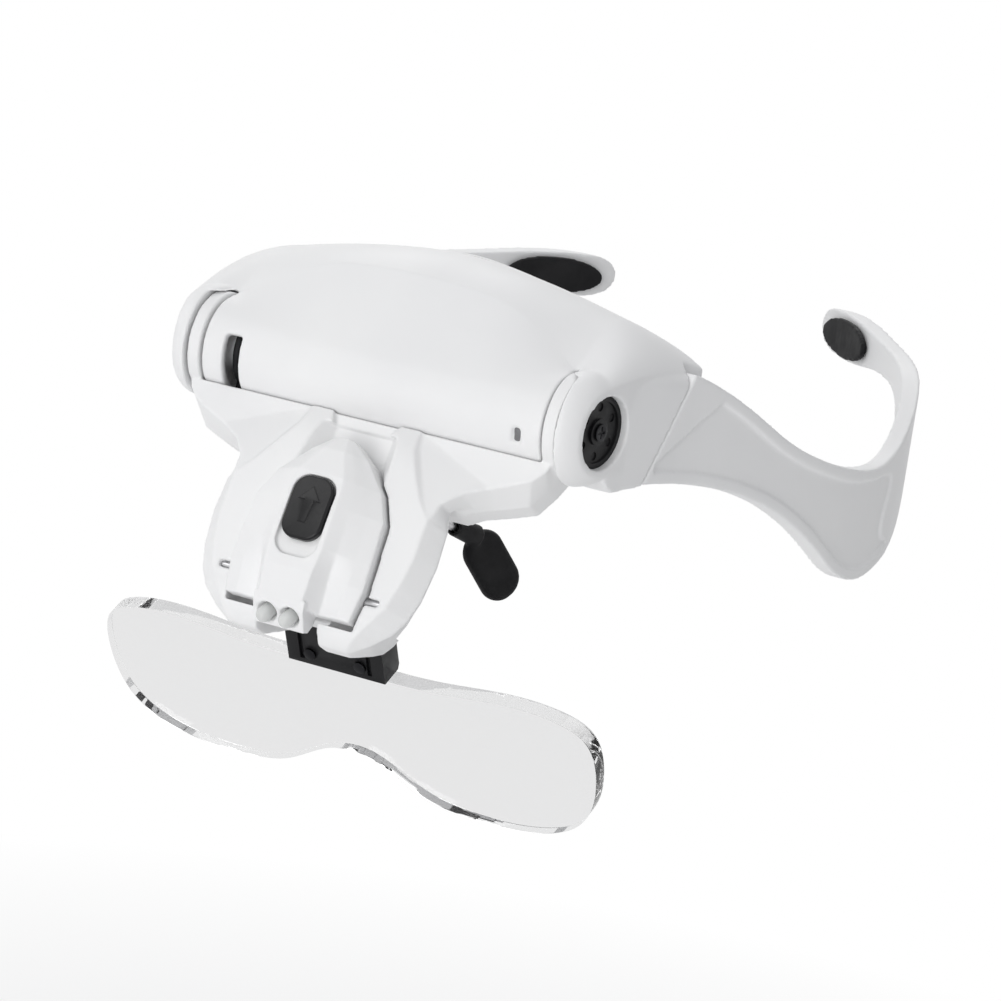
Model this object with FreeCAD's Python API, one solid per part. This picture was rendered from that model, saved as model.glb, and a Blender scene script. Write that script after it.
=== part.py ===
import FreeCAD, Part
import math
import os

# Head visor magnifier: a hood worn on the forehead, two plug-in temple arms, and a visor
# that tilts on the hood's front roll and carries a tilting lamp and a clear lens.
# Millimetres. +X is the wearer's left, +Y points back through the head, +Z is up.
# Every form is drawn about the visor's tilt axis, the line y = z = 0, and is moved at
# export so that the origin is the centre of the forehead pad's rear face.

os.makedirs("parts", exist_ok=True)

# ---- fits and clearances ----------------------------------------------------------------
run_fit = 0.05            # radial clearance of a pin that turns in its bore
slide_gap = 0.25          # around covers, doors and sliders
swing_gap = 0.3           # between surfaces that sweep past each other
seat_gap = 0.3            # soft pads stand this far off what carries them
plug_gap = 0.1            # around a tongue in its socket

# ---- hood -------------------------------------------------------------------------------
roll_r = 9.8              # rolled front, round the tilt axis
hood_half = 37.4          # half width between the ear slots
hood_wall = 1.8
hood_floor_z = -8.2
rear_flat_half = 26.0     # half width of the flat middle of the rear wall
rear_y = 27.5
rear_sweep_r = 52.0       # the rear wall curves back round the temples on this radius
drum_r = 11.2             # cheek drums outboard of the slots
drum_width = 5.5
cheek_tilt = 10.0         # the cheek's outer face turns outward by this much towards the back
cheek_floor_z = -12.2
# share of the half width, crease (y, z), ridge (y, z), height of the rear rim
hood_stations = [
    (0.0, (5.5, 21.1), (14.0, 23.9), 22.4),
    (0.32, (5.4, 20.6), (15.5, 23.2), 21.6),
    (0.64, (4.6, 17.8), (19.0, 21.3), 19.6),
    (0.856, (3.5, 13.3), (22.5, 19.2), 17.6),
    (1.0, (2.4, 10.3), (25.0, 17.4), 15.8),
]
index_inset = 5.0         # the index recess lies this far inside the roll's left end
index_half, index_depth = 0.95, 0.9
index_low, index_high = -3.6, -0.5
catch_in, catch_out, catch_low = 9.0, 12.5, 20.0    # the rear rim's catch notch
# share of the cheek's width, drum radius, angle where the drum meets the dome, ridge (y, z),
# height of the rear rim
cheek_stations = [
    (0.4, 1.00, 80.0, (24.5, 15.9), 14.3),
    (0.76, 0.93, 86.0, (23.5, 13.4), 12.0),
    (1.0, 0.76, 92.0, (20.5, 10.6), 9.6),
]

# ---- ear and pivot ----------------------------------------------------------------------
ear_t = 2.6
ear_side_gap = 0.5
ear_neck_top = -6.2       # the wing's end reaches up to here beside the ear
ear_r = 10.2
pivot_pin_r = 2.0
pivot_pin_depth = 6.0     # how far the pin reaches into the hood's end wall
pivot_pin_seat = 1.2      # and into the cheek
disc_r = 7.1
disc_t = 1.3
disc_sunk = 1.6           # the disc's face lies this far inside the cheek's
disc_hole_depth = 0.8
disc_boss_r = 2.6
disc_hole_r = 0.85
disc_hole_ring = 4.8
disc_holes = 6
disc_screw_r = 0.9
disc_screw_grip = 0.9
washer_r, washer_t = 5.2, 0.45

# ---- temple arms --------------------------------------------------------------------------
arm_wall = 3.8
joint_top_y, joint_low_y = 24.0, 13.0   # the slanting joint between cheek and arm
joint_top_z, joint_low_z = 10.4, -11.9
arm_recess = 0.7
arm_rim = 2.4
arm_pad_length = 23.4
arm_pad_height = 8.5
arm_pad_t = 1.3
arm_pad_x, arm_pad_z = 40.0, 1.6
tongue_front_y, tongue_rear_y = 9.2, 24.0
tongue_t = 2.2
tongue_low, tongue_high = -5.5, 4.0
shoulder_t = 8.0
shoulder_round = 3.6
# the arm's outer face from above, (x, y), front to tip
arm_plan = [(45.8, -2.0), (47.4, 6.0), (50.2, 15.0), (53.2, 24.5), (56.6, 34.0), (60.4, 45.0),
            (65.4, 60.0), (69.0, 75.0), (70.5, 90.0), (69.8, 101.0), (67.2, 110.5),
            (62.6, 119.0), (55.9, 128.2), (48.2, 137.6), (39.6, 147.0), (28.4, 157.4),
            (20.8, 164.0)]
# the arm's edges from the side, (y, z)
arm_top_edge = [(8.0, 11.6), (16.0, 11.6), (24.5, 10.1), (33.5, 6.4), (43.0, 1.3), (53.0, -4.6),
                (66.5, -9.8), (78.0, -12.2), (88.0, -12.2), (97.0, -8.6), (105.0, -3.0),
                (113.0, 2.0), (121.0, 4.2), (132.0, 5.4), (141.0, 6.5), (151.4, 6.6)]
arm_tip = [(153.8, 5.0), (154.6, 2.1), (153.6, -0.9)]
arm_low_edge = [(150.6, -2.9), (142.0, -3.2), (133.0, -1.8), (125.0, -1.6), (117.0, -3.8), (112.4, -9.5),
                (110.4, -17.5), (106.5, -25.5), (99.0, -31.8), (90.0, -35.2), (81.0, -36.0),
                (74.0, -33.8), (67.0, -29.0), (58.5, -23.0), (46.5, -16.8), (35.0, -13.4),
                (24.5, -11.7), (14.0, -11.2), (8.0, -11.6)]

# ---- visor bracket, drawn in the plane of its own face -----------------------------------
face_lean = 27.0          # the face leans forward by this much, in degrees
face_y, face_z = -8.5, -7.0
wing_half = 40.5          # the wings reach the ears' outer sides
wing_depth = 10.8
wing_bevel = 5.5          # how deep the bevel under the wing's front edge runs
wing_top = -3.0           # reaches under the roll, which trims it
# the wing's lower edge, outer end first: (x, down the face) in front, and behind the bevel
wing_edge = [((40.5, -2.4), (40.5, -1.2)), ((39.4, 0.9), (38.6, 3.0)), ((37.2, 3.3), (36.1, 7.0)),
             ((30.6, 6.3), (31.2, 8.8)), ((25.5, 8.5), (25.9, 10.5)), ((22.6, 11.0), (22.9, 12.3))]
# the web that carries the wing's front up to the leg's raised face: its slope runs through
# the first three points (x, down the face, out of it), and its lower edge is given as
# (x, down the face) at wing_bevel behind the face, at the face, and wing_bevel out of it
web_slope = [(11.5, -1.0, 0.0), (29.6, 6.7, 0.0), (21.2, 16.3, 3.8)]
web_edge = [((30.2, 9.1), (29.6, 6.7), (29.0, 4.3)), ((25.9, 10.5), (25.2, 9.5), (24.4, 8.4)),
            ((22.9, 12.4), (22.6, 12.8), (21.7, 12.4)), ((22.6, 16.8), (24.2, 17.2), (19.9, 15.9))]
# a leg's outer edge, top first: (x, down the face) at its foot, and on its raised face
leg_edge = [((11.0, -3.0), (9.4, -3.0)), ((14.0, 3.0), (10.9, 3.0)), ((18.3, 8.5), (14.6, 8.5)),
            ((22.2, 12.8), (17.3, 12.4)), ((24.4, 17.2), (21.1, 16.2)), ((24.8, 24.0), (21.2, 24.0)),
            ((24.1, 31.0), (20.2, 30.0)), ((22.8, 35.4), (18.9, 34.6)),
            ((20.9, 38.6), (16.9, 37.6)), ((17.2, 41.8), (14.4, 40.8)),
            ((13.2, 44.4), (12.0, 43.4))]
leg_taper = 0.72          # the legs narrow to this share behind the face
leg_deep = -14.0
leg_rise = 3.8            # height of the legs' raised face
leg_rear = -2.0
leg_bottom = 44.4         # down the face
# the raised face from the side: (down the face, out of it)
leg_crown = [(-1.5, 0.0), (3.5, 2.1), (9.0, 3.2), (15.0, 3.8), (28.0, 3.9), (36.0, 3.8),
             (41.5, 2.9), (44.4, 0.4)]
spine_half = 17.5         # the closed back behind the lamp
spine_top, spine_bottom = 12.0, 37.0
spine_rear = -6.0
cover_half = 14.5
cover_top, cover_bottom = 16.5, 32.5
cover_t = 1.4
cover_screw_x = 12.2
cover_screw_inset = 2.2
screw_r = 0.75
screw_head_r = 1.6
screw_head_t = 0.6
screw_length = 3.6
channel_half = 9.8        # half width of the V's rim
channel_floor_half = 6.2
channel_lip = 1.6         # height of the thin bar across the channel's top
channel_bottom = 13.5
floor_t = 1.2
recess_floor = -1.3       # lamp recess, measured out of the face
recess_gap = 0.45
notch_half = 6.2          # notch in the bottom lip, under the lamp's nose
notch_spread = 1.3

# ---- lamp -----------------------------------------------------------------------------------
lamp_axis_down = 34.3
lamp_axis_out = 2.0
lamp_pin_r = 0.9
lamp_base = -0.9
lamp_wall = 1.4
led_r = 1.5
led_cup_r = 2.6           # the flared cup round each LED
led_pitch = 4.9
switch_length = 12.6
switch_width = 8.6
switch_travel = 3.0
switch_top = 14.9         # down the face
# down the face, half width, edge height, lobe (x, h), valley (x, h), ridge (x, h)
lamp_stations = [
    (5.3, 2.0, 5.5, (1.6, 5.7), (1.2, 5.9), (0.8, 6.1)),
    (8.5, 6.2, 5.5, (5.1, 6.3), (3.7, 7.6), (2.3, 8.5)),
    (14.0, 11.3, 5.7, (9.4, 7.0), (6.9, 9.0), (5.0, 10.3)),
    (19.5, 13.9, 5.9, (11.4, 7.1), (8.0, 9.0), (5.5, 10.5)),
    (28.0, 14.4, 5.9, (11.5, 7.0), (8.0, 8.6), (5.7, 10.4)),
    (33.0, 14.6, 5.7, (11.5, 6.8), (7.4, 6.5), (5.2, 10.1)),
    (39.5, 13.6, 5.0, (11.0, 5.5), (7.0, 4.5), (4.7, 8.8)),
]
nose_half = 5.5
nose_end = 43.8
nose_low = 2.4
lamp_pin_end = 17.6
lamp_room_half = 7.4      # the room inside for the switch and its board
lamp_room_top, lamp_room_bottom = 15.5, 30.5
lamp_room_high = 5.6
board_high, board_t = 2.4, 1.2
switch_high = 10.9

# ---- lens and clip, drawn in the plane of the lens ------------------------------------------
lens_lean = -27.0         # the lens hangs back towards the face
lens_y, lens_z = -5.7, -56.7
lens_t = 3.5
lens_half = 55.4
lens_rise = 1.4           # how far the top corners stand above the middle
lens_side = 11.0          # half the height of the straight side
lens_drop = 30.4          # lowest point of each lobe
lens_lobe_x = 27.0
lens_notch = 21.2         # top of the nose notch
clip_half = 10.9
clip_height = 11.0
clip_front = 1.2
clip_rear = -4.6
clip_corner = 1.2
clip_slot_x, clip_slot_width = 7.6, 1.0
clip_screw_x, clip_screw_up = 5.6, 2.9
clip_screw_r = 0.8
clip_screw_head_r = 1.3
clip_screw_head_t = 0.5
tab_half = 7.0
tab_height = 5.0
tab_t = 2.2
clip_tongue_half = 8.6
clip_tongue = 5.6
clip_tongue_inset = 0.9   # the tongue is thinner than the clip by this much on each side
socket_wall = 1.9

# ---- nose rest ------------------------------------------------------------------------------
nose_pad_length = 16.0
nose_pad_width = 9.0
nose_pad_t = 3.0
nose_neck_r, nose_neck_end_r, nose_neck_length = 2.3, 1.8, 8.0
nose_wire_r = 0.9
nose_wire_bend = 12.0
# the wire's corners behind the bracket, (x, y, z), from the foot to the pad
nose_wire_path = [(4.6, -2.0, -28.0), (7.2, 12.0, -27.4), (9.9, 24.0, -31.6)]
nose_foot = (10.0, 7.0, 2.4)
nose_foot_down = 21.0

# ---- power ----------------------------------------------------------------------------------
cell_r = 5.25
door_end_in = 12.2
cell_end_room = 15.15
cell_length = 2 * (hood_half - cell_end_room)
cell_places = [(8.0, 10.4), (19.2, 12.6), (14.6, 0.9)]
spring_length = 1.3
contact_t = 0.4
tray_wall = 1.6
contact_side = 7.4
tray_gap = 0.8
lead_r = 0.9
lead_x = 6.4 - hood_half   # near the roll's right end
lead_path_r = 6.8         # the lead runs round the tilt axis inside the roll
lead_bend = 1.6           # and turns outward on this radius
lead_start, lead_turn = 118.0, 229.0
lead_end_r = 12.0         # it ends this far from the tilt axis, inside the wing
lead_slot_width = 3.6

# ---- forehead pad ---------------------------------------------------------------------------
pad_t = 6.0
pad_end_in = 1.4
pad_half = hood_half - pad_end_in
pad_low, pad_high = -7.5, 9.5
pad_rear_r = 95.0

seat_y = rear_y + seat_gap + pad_t
seat_z = (pad_low + pad_high) / 2

X = FreeCAD.Vector(1, 0, 0)
Y = FreeCAD.Vector(0, 1, 0)
Z = FreeCAD.Vector(0, 0, 1)
O = FreeCAD.Vector(0, 0, 0)


def V(x, y, z):
    return FreeCAD.Vector(x, y, z)


# ---- small helpers ------------------------------------------------------------------------
def box(x0, x1, y0, y1, z0, z1):
    return Part.makeBox(x1 - x0, y1 - y0, z1 - z0, V(x0, y0, z0))


def rod_x(r, x0, x1, y=0.0, z=0.0):
    return Part.makeCylinder(r, x1 - x0, V(x0, y, z), X)


def mirrored(shape):
    return shape.mirror(O, X)


def both(shape):
    return Part.makeCompound([shape, mirrored(shape)])


def fuse(*shapes):
    return shapes[0].multiFuse(list(shapes[1:])).removeSplitter()


def cut(shape, *tools):
    for tool in tools:
        shape = shape.cut(tool)
    return shape


def cut_both(shape, *tools):
    for tool in tools:
        shape = shape.cut(tool).cut(mirrored(tool))
    return shape


def line(a, b):
    return Part.makeLine(a, b)


def spline(points):
    curve = Part.BSplineCurve()
    curve.interpolate(points)
    return curve


def polygon(points):
    return Part.makePolygon(list(points) + [points[0]])


def prism(wire, way):
    return Part.Face(wire).extrude(way)


def prism_x(points_yz, x0, x1):
    return prism(polygon([V(x0, y, z) for y, z in points_yz]), V(x1 - x0, 0, 0))


def whole(half):
    """A closed outline from its +X half, listed from the top middle to the bottom middle."""
    return list(half) + [(-x, t) for x, t in reversed(half) if x > 0]


def bent_rod(points, r, bend):
    """A round wire through the points: straight runs joined by tangent arcs."""
    edges = []
    start = points[0]
    for before, corner, after in zip(points, points[1:], points[2:]):
        a = (before - corner).normalize()
        b = (after - corner).normalize()
        half_turn = (math.pi - a.getAngle(b)) / 2
        back = bend * math.tan(half_turn)
        middle = (a + b).normalize()
        reach = bend / math.cos(half_turn) - bend
        first, last = corner + a * back, corner + b * back
        edges.append(line(start, first))
        edges.append(Part.Arc(first, corner + middle * reach, last).toShape())
        start = last
    edges.append(line(start, points[-1]))
    ring = Part.Wire([Part.Circle(points[0], points[1] - points[0], r).toShape()])
    return Part.Wire(edges).makePipeShell([ring], True, False)


def tilted(shape, lean, y, z):
    """From coordinates (x, up a leaning plane, out of it) to the hood's frame."""
    placed = shape.copy()
    placed.rotate(O, X, 90 - lean)
    placed.translate(V(0, y, z))
    return placed


def on_face(shape):
    return tilted(shape, face_lean, face_y, face_z)


def on_lens(shape):
    return tilted(shape, lens_lean, lens_y, lens_z)


def face_yz(down, out):
    """The place in the hood's frame, (y, z), of a point down the face and out of it."""
    a = math.radians(face_lean)
    return (face_y - down * math.sin(a) - out * math.cos(a),
            face_z - down * math.cos(a) + out * math.sin(a))


def lens_yz(up, out):
    a = math.radians(lens_lean)
    return (lens_y + up * math.sin(a) - out * math.cos(a),
            lens_z + up * math.cos(a) + out * math.sin(a))


def on_cheek(shape):
    """From coordinates whose x = 0 is the cheek's outer face to the hood's frame."""
    placed = shape.copy()
    placed.rotate(O, Z, -cheek_tilt)
    placed.translate(V(drum_out, 0, 0))
    return placed


slot_in = hood_half
slot_out = hood_half + 2 * ear_side_gap + ear_t
ear_in = slot_in + ear_side_gap
drum_out = slot_out + drum_width
slot_r = ear_r + swing_gap
wing_r = roll_r + swing_gap


# ---- hood ----------------------------------------------------------------------------------
def rear_at(x):
    """Depth of the rear wall at x: flat in the middle, then swept back."""
    beyond = max(0.0, abs(x) - rear_flat_half)
    return rear_y + rear_sweep_r - math.sqrt(rear_sweep_r ** 2 - beyond ** 2)


def tangent_angle(r, y, z):
    """Where, on a circle of radius r about the tilt axis, the front tangent from (y, z) meets."""
    return math.atan2(z, y) + math.acos(r / math.hypot(y, z))


def hood_section(station, x, inset, rear_extra):
    """The hood's closed outline for one station, shrunk by inset and placed at x."""
    crease, ridge, rim = station[1:]
    r = roll_r - inset
    crease_y, crease_z = crease[0] + 0.55 * inset, crease[1] - 0.95 * inset
    floor = hood_floor_z + inset
    start = math.asin(floor / r)
    stop = tangent_angle(r, crease_y, crease_z)
    rear = rear_at(station[0] * hood_half) + rear_extra
    p_low = V(x, r * math.cos(start), floor)
    p_front = V(x, -r, 0)
    p_tan = V(x, r * math.cos(stop), r * math.sin(stop))
    p_crease = V(x, crease_y, crease_z)
    p_rim = V(x, rear, rim - inset)
    p_floor = V(x, rear, floor)
    dome = spline([p_crease, V(x, ridge[0], ridge[1] - inset), p_rim]).toShape()
    return Part.Wire([Part.Arc(p_low, p_front, p_tan).toShape(), line(p_tan, p_crease), dome,
                      line(p_rim, p_floor), line(p_floor, p_low)])


def hood_form(inset=0.0, rear_extra=0.0):
    """The hood between its ear slots, as one closed loft."""
    sections = []
    for side, stations in ((-1, reversed(hood_stations[1:])), (1, hood_stations)):
        for station in stations:
            x = side * station[0] * (hood_half - inset)
            sections.append(hood_section(station, x, inset, rear_extra))
    return Part.makeLoft(sections, True)


def cheek_section(station):
    share, r_share, meet, ridge, rim = station
    x = hood_half + share * (drum_out - hood_half)
    r = drum_r * r_share
    start, stop = math.radians(-75.0), math.radians(meet + 8.0)
    rear = rear_at(x)
    p_start = V(x, r * math.cos(start), r * math.sin(start))
    p_tan = V(x, r * math.cos(stop), r * math.sin(stop))
    stop = math.radians(meet)
    p_crease = V(x, r * math.cos(stop), r * math.sin(stop) + 0.1)
    p_rim = V(x, rear, rim)
    p_floor = V(x, rear, hood_floor_z)
    top = spline([p_crease, V(x, ridge[0], ridge[1]), p_rim]).toShape()
    wire = Part.Wire([Part.Arc(p_start, V(x, -r, 0), p_tan).toShape(), line(p_tan, p_crease),
                      top, line(p_rim, p_floor), line(p_floor, p_start)])
    wire.rotate(V(x, 0, 0), Z, -cheek_tilt * share)
    return wire


def cheek_form():
    """The cheek, rebated for the arm's plate behind the joint."""
    sections = [hood_section(hood_stations[-1], hood_half, 0.0, 0.0)]
    sections += [cheek_section(s) for s in cheek_stations]
    body = Part.makeLoft(sections, True)
    plate = arm_band(-6.0, arm_wall + plug_gap, -40.0, 40.0)
    return body.cut(plate.common(behind_joint(0.0)))


def arm_band(t0, t1, low, high):
    """The strip between t0 and t1 inside the arm's outer face, as a tall solid."""
    outer = spline([V(x, y, low) for x, y in arm_plan])
    first, last = outer.FirstParameter, outer.LastParameter
    steps = 24

    def offset(t):
        points = []
        for i in range(steps + 1):
            u = first + (last - first) * i / steps
            tangent = outer.tangent(u)[0]
            points.append(outer.value(u) + V(-tangent.y, tangent.x, 0) * t)
        return spline(points)

    a = outer if t0 == 0 else offset(t0)
    b = offset(t1)
    wire = Part.Wire([line(b.StartPoint, a.StartPoint), a.toShape(),
                      line(a.EndPoint, b.EndPoint), b.toShape()])
    return prism(wire, V(0, 0, high - low))


def side_form(top, end, low):
    """A wide solid from its side view: the top edge, the rear end and the lower edge."""
    top, low = [V(0, y, z) for y, z in top], [V(0, y, z) for y, z in low]
    end = [top[-1]] + [V(0, y, z) for y, z in end] + [low[0]]
    wire = Part.Wire([spline(top).toShape(), spline(end).toShape(), spline(low).toShape(),
                      line(low[-1], top[0])])
    return prism(wire, V(2 * hood_half + 20, 0, 0))


def behind_joint(gap):
    """Everything behind the slanting joint, moved back by gap."""
    slope = (joint_top_y - joint_low_y) / (joint_top_z - joint_low_z)
    high, low = 60.0, -60.0
    return prism_x([(joint_top_y + gap + slope * (high - joint_top_z), high),
                    (joint_top_y + gap + slope * (low - joint_top_z), low),
                    (200.0, low), (200.0, high)], -100, 100)


def cheek_shoulder():
    """The cheek's side wall, which carries the arm's own lines forward to the drum."""
    rear = joint_top_y + 1.0
    crown = [V(36, 2.5, 7.0), V(36, 8.0, 10.4), V(36, 16.0, 11.2), V(36, rear, joint_top_z)]
    chin = [crown[-1], V(36, rear, -11.7), V(36, 14.0, -11.3), V(36, 5.0, cheek_floor_z),
            V(36, 2.5, -10.0), crown[0]]
    wire = Part.Wire([spline(crown).toShape()] + [line(a, b) for a, b in zip(chin, chin[1:])])
    block = prism(wire, V(24, 0, 0)).common(arm_band(0.0, shoulder_t, -30.0, 30.0))
    outer = [e for e in block.Edges if e.BoundBox.ZMin > 5.0 and outside_arm(e)]
    return block.makeFillet(shoulder_round, outer).cut(behind_joint(0.0))


def outside_arm(edge):
    """Whether the edge lies on the arm's outer face."""
    middle = edge.valueAt((edge.FirstParameter + edge.LastParameter) / 2)
    plan = spline([V(x, y, middle.z) for x, y in arm_plan]).toShape()
    return plan.distToShape(Part.Vertex(middle))[0] < 0.1


def tongue_form(grow):
    """The arm's plug, which slides forward into the cheek."""
    middle = arm_wall / 2 + 0.3
    strip = arm_band(middle - tongue_t / 2 - grow, middle + tongue_t / 2 + grow, -30.0, 30.0)
    return strip.common(box(30, 70, tongue_front_y - grow, tongue_rear_y,
                            tongue_low - grow, tongue_high + grow))


def ear_slot():
    """The slot for one ear, open to the front and below."""
    ring = rod_x(slot_r, slot_in, slot_out)
    crease_y = hood_stations[-1][1][0]
    mouth = box(slot_in, slot_out, -slot_r - 5, crease_y, -30, slot_r)
    sweep = box(slot_in, slot_out, -0.01, 6.0, -30, -slot_r * 0.7)
    return fuse(ring, mouth, sweep)


def disc_recess():
    return on_cheek(rod_x(disc_r + plug_gap, -disc_sunk - disc_t, 3))


def disc_screw_hole():
    return on_cheek(rod_x(disc_screw_r, -disc_sunk - disc_t - disc_screw_grip, 3))


def pivot_bore():
    return rod_x(pivot_pin_r, hood_half - pivot_pin_depth, slot_out + pivot_pin_seat)


battery_door_half = hood_half - door_end_in
door_front, door_rear = 6.0, 23.8
door_axis_y, door_axis_z = door_rear, hood_floor_z + 1.3
door_barrel_r = 1.3
door_pin_r = 0.8
door_pin_length = 2.0
door_lug = 3.0


def door_window():
    return box(-battery_door_half - slide_gap, battery_door_half + slide_gap,
               door_front - slide_gap, door_rear + door_barrel_r + slide_gap,
               hood_floor_z - 1, hood_floor_z + hood_wall + 1)


def lead_slot():
    half = lead_slot_width / 2
    ring = rod_x(roll_r + 1, lead_x - half, lead_x + half)
    ring = ring.cut(rod_x(lead_path_r - lead_r - 0.6, lead_x - 5, lead_x + 5))
    keep = prism_x([(0, 0), (-20, 9.4), (-20, -30), (2.0, -30)], lead_x - 5, lead_x + 5)
    return ring.common(keep)


def index_recess():
    """The small blind recess at the left end of the roll."""
    x = hood_half - index_inset
    ring = rod_x(roll_r + 1, x - index_half, x + index_half)
    ring = ring.cut(rod_x(roll_r - index_depth, x - 2 * index_half, x + 2 * index_half))
    return ring.common(box(x - index_half, x + index_half, -2 * roll_r, 0,
                           index_low, index_high))


def rim_notch():
    """The catch notch in the rear rim, where the back cover snaps in."""
    return box(-catch_out, -catch_in, rear_y - 2.5, rear_y + 2, catch_low, catch_low + 6.0)


def hood_shell():
    outer = fuse(hood_form(), cheek_form(), mirrored(cheek_form()),
                 cheek_shoulder(), mirrored(cheek_shoulder()))
    shell = cut(outer, hood_form(hood_wall, 12.0), door_window())
    lug = box(battery_door_half + slide_gap, battery_door_half + slide_gap + door_lug,
              door_axis_y - 2.2, door_axis_y + 1.7, hood_floor_z + 0.2, door_axis_z + 1.9)
    boss = rod_x(pivot_pin_r + 2.2, hood_half - pivot_pin_depth - 1.0,
                 hood_half - hood_wall + 0.1)
    shell = fuse(shell, lug, mirrored(lug), boss, mirrored(boss))
    hinge = rod_x(door_pin_r + run_fit, -battery_door_half - 5, battery_door_half + 5,
                  door_axis_y, door_axis_z)
    shell = cut_both(shell, ear_slot(), tongue_form(plug_gap), disc_recess(),
                     disc_screw_hole(), pivot_bore())
    return cut(shell, hinge, lead_slot(), index_recess(), rim_notch()).removeSplitter()


def hood_back_cover():
    inner = hood_form(hood_wall + plug_gap, 12.0)
    tab = box(-catch_out + seat_gap, -catch_in - seat_gap, rear_y - 1.6, rear_y - 0.2,
              catch_low - 2.0, catch_low + 0.6)
    return fuse(inner.common(rear_strip(hood_wall)), tab.common(hood_form(0.3, 12.0)))


def rear_strip(t):
    """A tall plate of thickness t that follows the rear wall's inner side."""
    reach = hood_half + 1.0
    steps = 6
    xs = [rear_flat_half + (reach - rear_flat_half) * i / steps for i in range(steps + 1)]
    back = [V(x, rear_at(x), -20) for x in xs]
    front = [p - V(0, t, 0) for p in back]
    right, right_in = spline(back), spline(front)
    left = spline([V(-p.x, p.y, p.z) for p in back])
    left_in = spline([V(-p.x, p.y, p.z) for p in front])
    edges = [line(left.StartPoint, right.StartPoint), right.toShape(),
             line(right.EndPoint, right_in.EndPoint), right_in.toShape(),
             line(right_in.StartPoint, left_in.StartPoint), left_in.toShape(),
             line(left_in.EndPoint, left.EndPoint), left.toShape()]
    return prism(Part.Wire(Part.__sortEdges__(edges)), V(0, 0, 50))


def battery_door():
    plate = box(-battery_door_half, battery_door_half, door_front, door_rear,
                hood_floor_z, hood_floor_z + hood_wall)
    barrel = rod_x(door_barrel_r, -battery_door_half, battery_door_half,
                   door_axis_y, door_axis_z)
    reach = battery_door_half + door_pin_length
    pins = rod_x(door_pin_r, -reach, reach, door_axis_y, door_axis_z)
    door = fuse(plate, barrel, pins)
    for i in range(5):
        y = door_front + 2.2 + i * 1.6
        door = door.cut(box(-9, 9, y, y + 0.8, hood_floor_z - 1, hood_floor_z + 0.4))
    return door


def battery_cells():
    half = cell_length / 2
    cells = []
    for y, z in cell_places:
        body = rod_x(cell_r, -half + 1.0, half - 1.0, y, z)
        cells.append(fuse(body, rod_x(2.6, -half, half, y, z)))
    return Part.makeCompound(cells)


def battery_contacts():
    half = cell_length / 2
    parts = []
    for y, z in cell_places:
        for side in (1, -1):
            spring = Part.makeCone(2.2, 3.4, spring_length, V(side * half, y, z), X * side)
            plate = box(half + spring_length, half + spring_length + contact_t,
                        y - contact_side / 2, y + contact_side / 2,
                        z - contact_side / 2, z + contact_side / 2)
            parts.append(spring.fuse(plate if side > 0 else mirrored(plate)))
    return Part.makeCompound(parts)


def battery_tray():
    """Two end walls that carry the contacts, and two combs that hold the cells apart."""
    inner = hood_form(hood_wall + tray_gap, 0.0)
    inner = inner.common(box(-60, 60, -20, rear_y - hood_wall - seat_gap,
                             hood_floor_z + hood_wall + 3.2, 40))
    x0 = cell_length / 2 + spring_length + contact_t
    wall = inner.common(box(x0, x0 + tray_wall, 1.0, 40, -20, 40))
    spine = inner.common(box(-x0 - 0.1, x0 + 0.1, 8.0, 12.0, 16.6, 18.0))
    combs = []
    for x in (-12.0, 12.0):
        comb = inner.common(box(x - 0.7, x + 0.7, 1.0, 40, 6.0, 18.0))
        for y, z in cell_places:
            comb = comb.cut(rod_x(cell_r + plug_gap, x - 2, x + 2, y, z))
            comb = comb.cut(box(x - 2, x + 2, y - cell_r, y + cell_r, -20, z))
        combs.append(comb)
    return fuse(wall, mirrored(wall), spine, *combs)


def forehead_pad():
    xs = [rear_flat_half, (rear_flat_half + pad_half) / 2, pad_half]
    front = [V(x, rear_at(x) + seat_gap, pad_low) for x in xs]
    side = spline(front)
    side_left = spline([V(-p.x, p.y, p.z) for p in front])
    sag = pad_rear_r - math.sqrt(pad_rear_r ** 2 - pad_half ** 2)
    corner = V(pad_half, seat_y + sag, pad_low)
    rear = Part.Arc(corner, V(0, seat_y, pad_low), V(-corner.x, corner.y, pad_low))
    edges = [line(side_left.StartPoint, side.StartPoint), side.toShape(),
             line(side.EndPoint, corner), rear.toShape(),
             line(V(-corner.x, corner.y, pad_low), side_left.EndPoint), side_left.toShape()]
    pad = prism(Part.Wire(Part.__sortEdges__(edges)), V(0, 0, pad_high - pad_low))
    ends = [e for e in pad.Edges if abs(e.BoundBox.ZLength - (pad_high - pad_low)) < 0.01
            and max(abs(e.BoundBox.XMax), abs(e.BoundBox.XMin)) > pad_half - 0.1]
    return pad.makeFillet(1.4, ends)


# ---- cheek discs, pivot pins and washers ------------------------------------------------------
def pivot_disc():
    """The cap in the cheek: a dished disc with a ring of blind holes and a boss."""
    back, front = -disc_sunk - disc_t, -disc_sunk
    disc = rod_x(disc_r, back, front).cut(rod_x(disc_r - 1.0, front - 0.5, front + 1))
    disc = fuse(disc, rod_x(disc_boss_r, back, front + 0.1))
    for i in range(disc_holes):
        a = math.radians(360.0 * i / disc_holes + 30)
        disc = disc.cut(rod_x(disc_hole_r, front - disc_hole_depth, front + 1,
                              disc_hole_ring * math.cos(a), disc_hole_ring * math.sin(a)))
    return on_cheek(disc.cut(rod_x(disc_screw_r + run_fit, back - 1, front + 1)))


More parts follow.
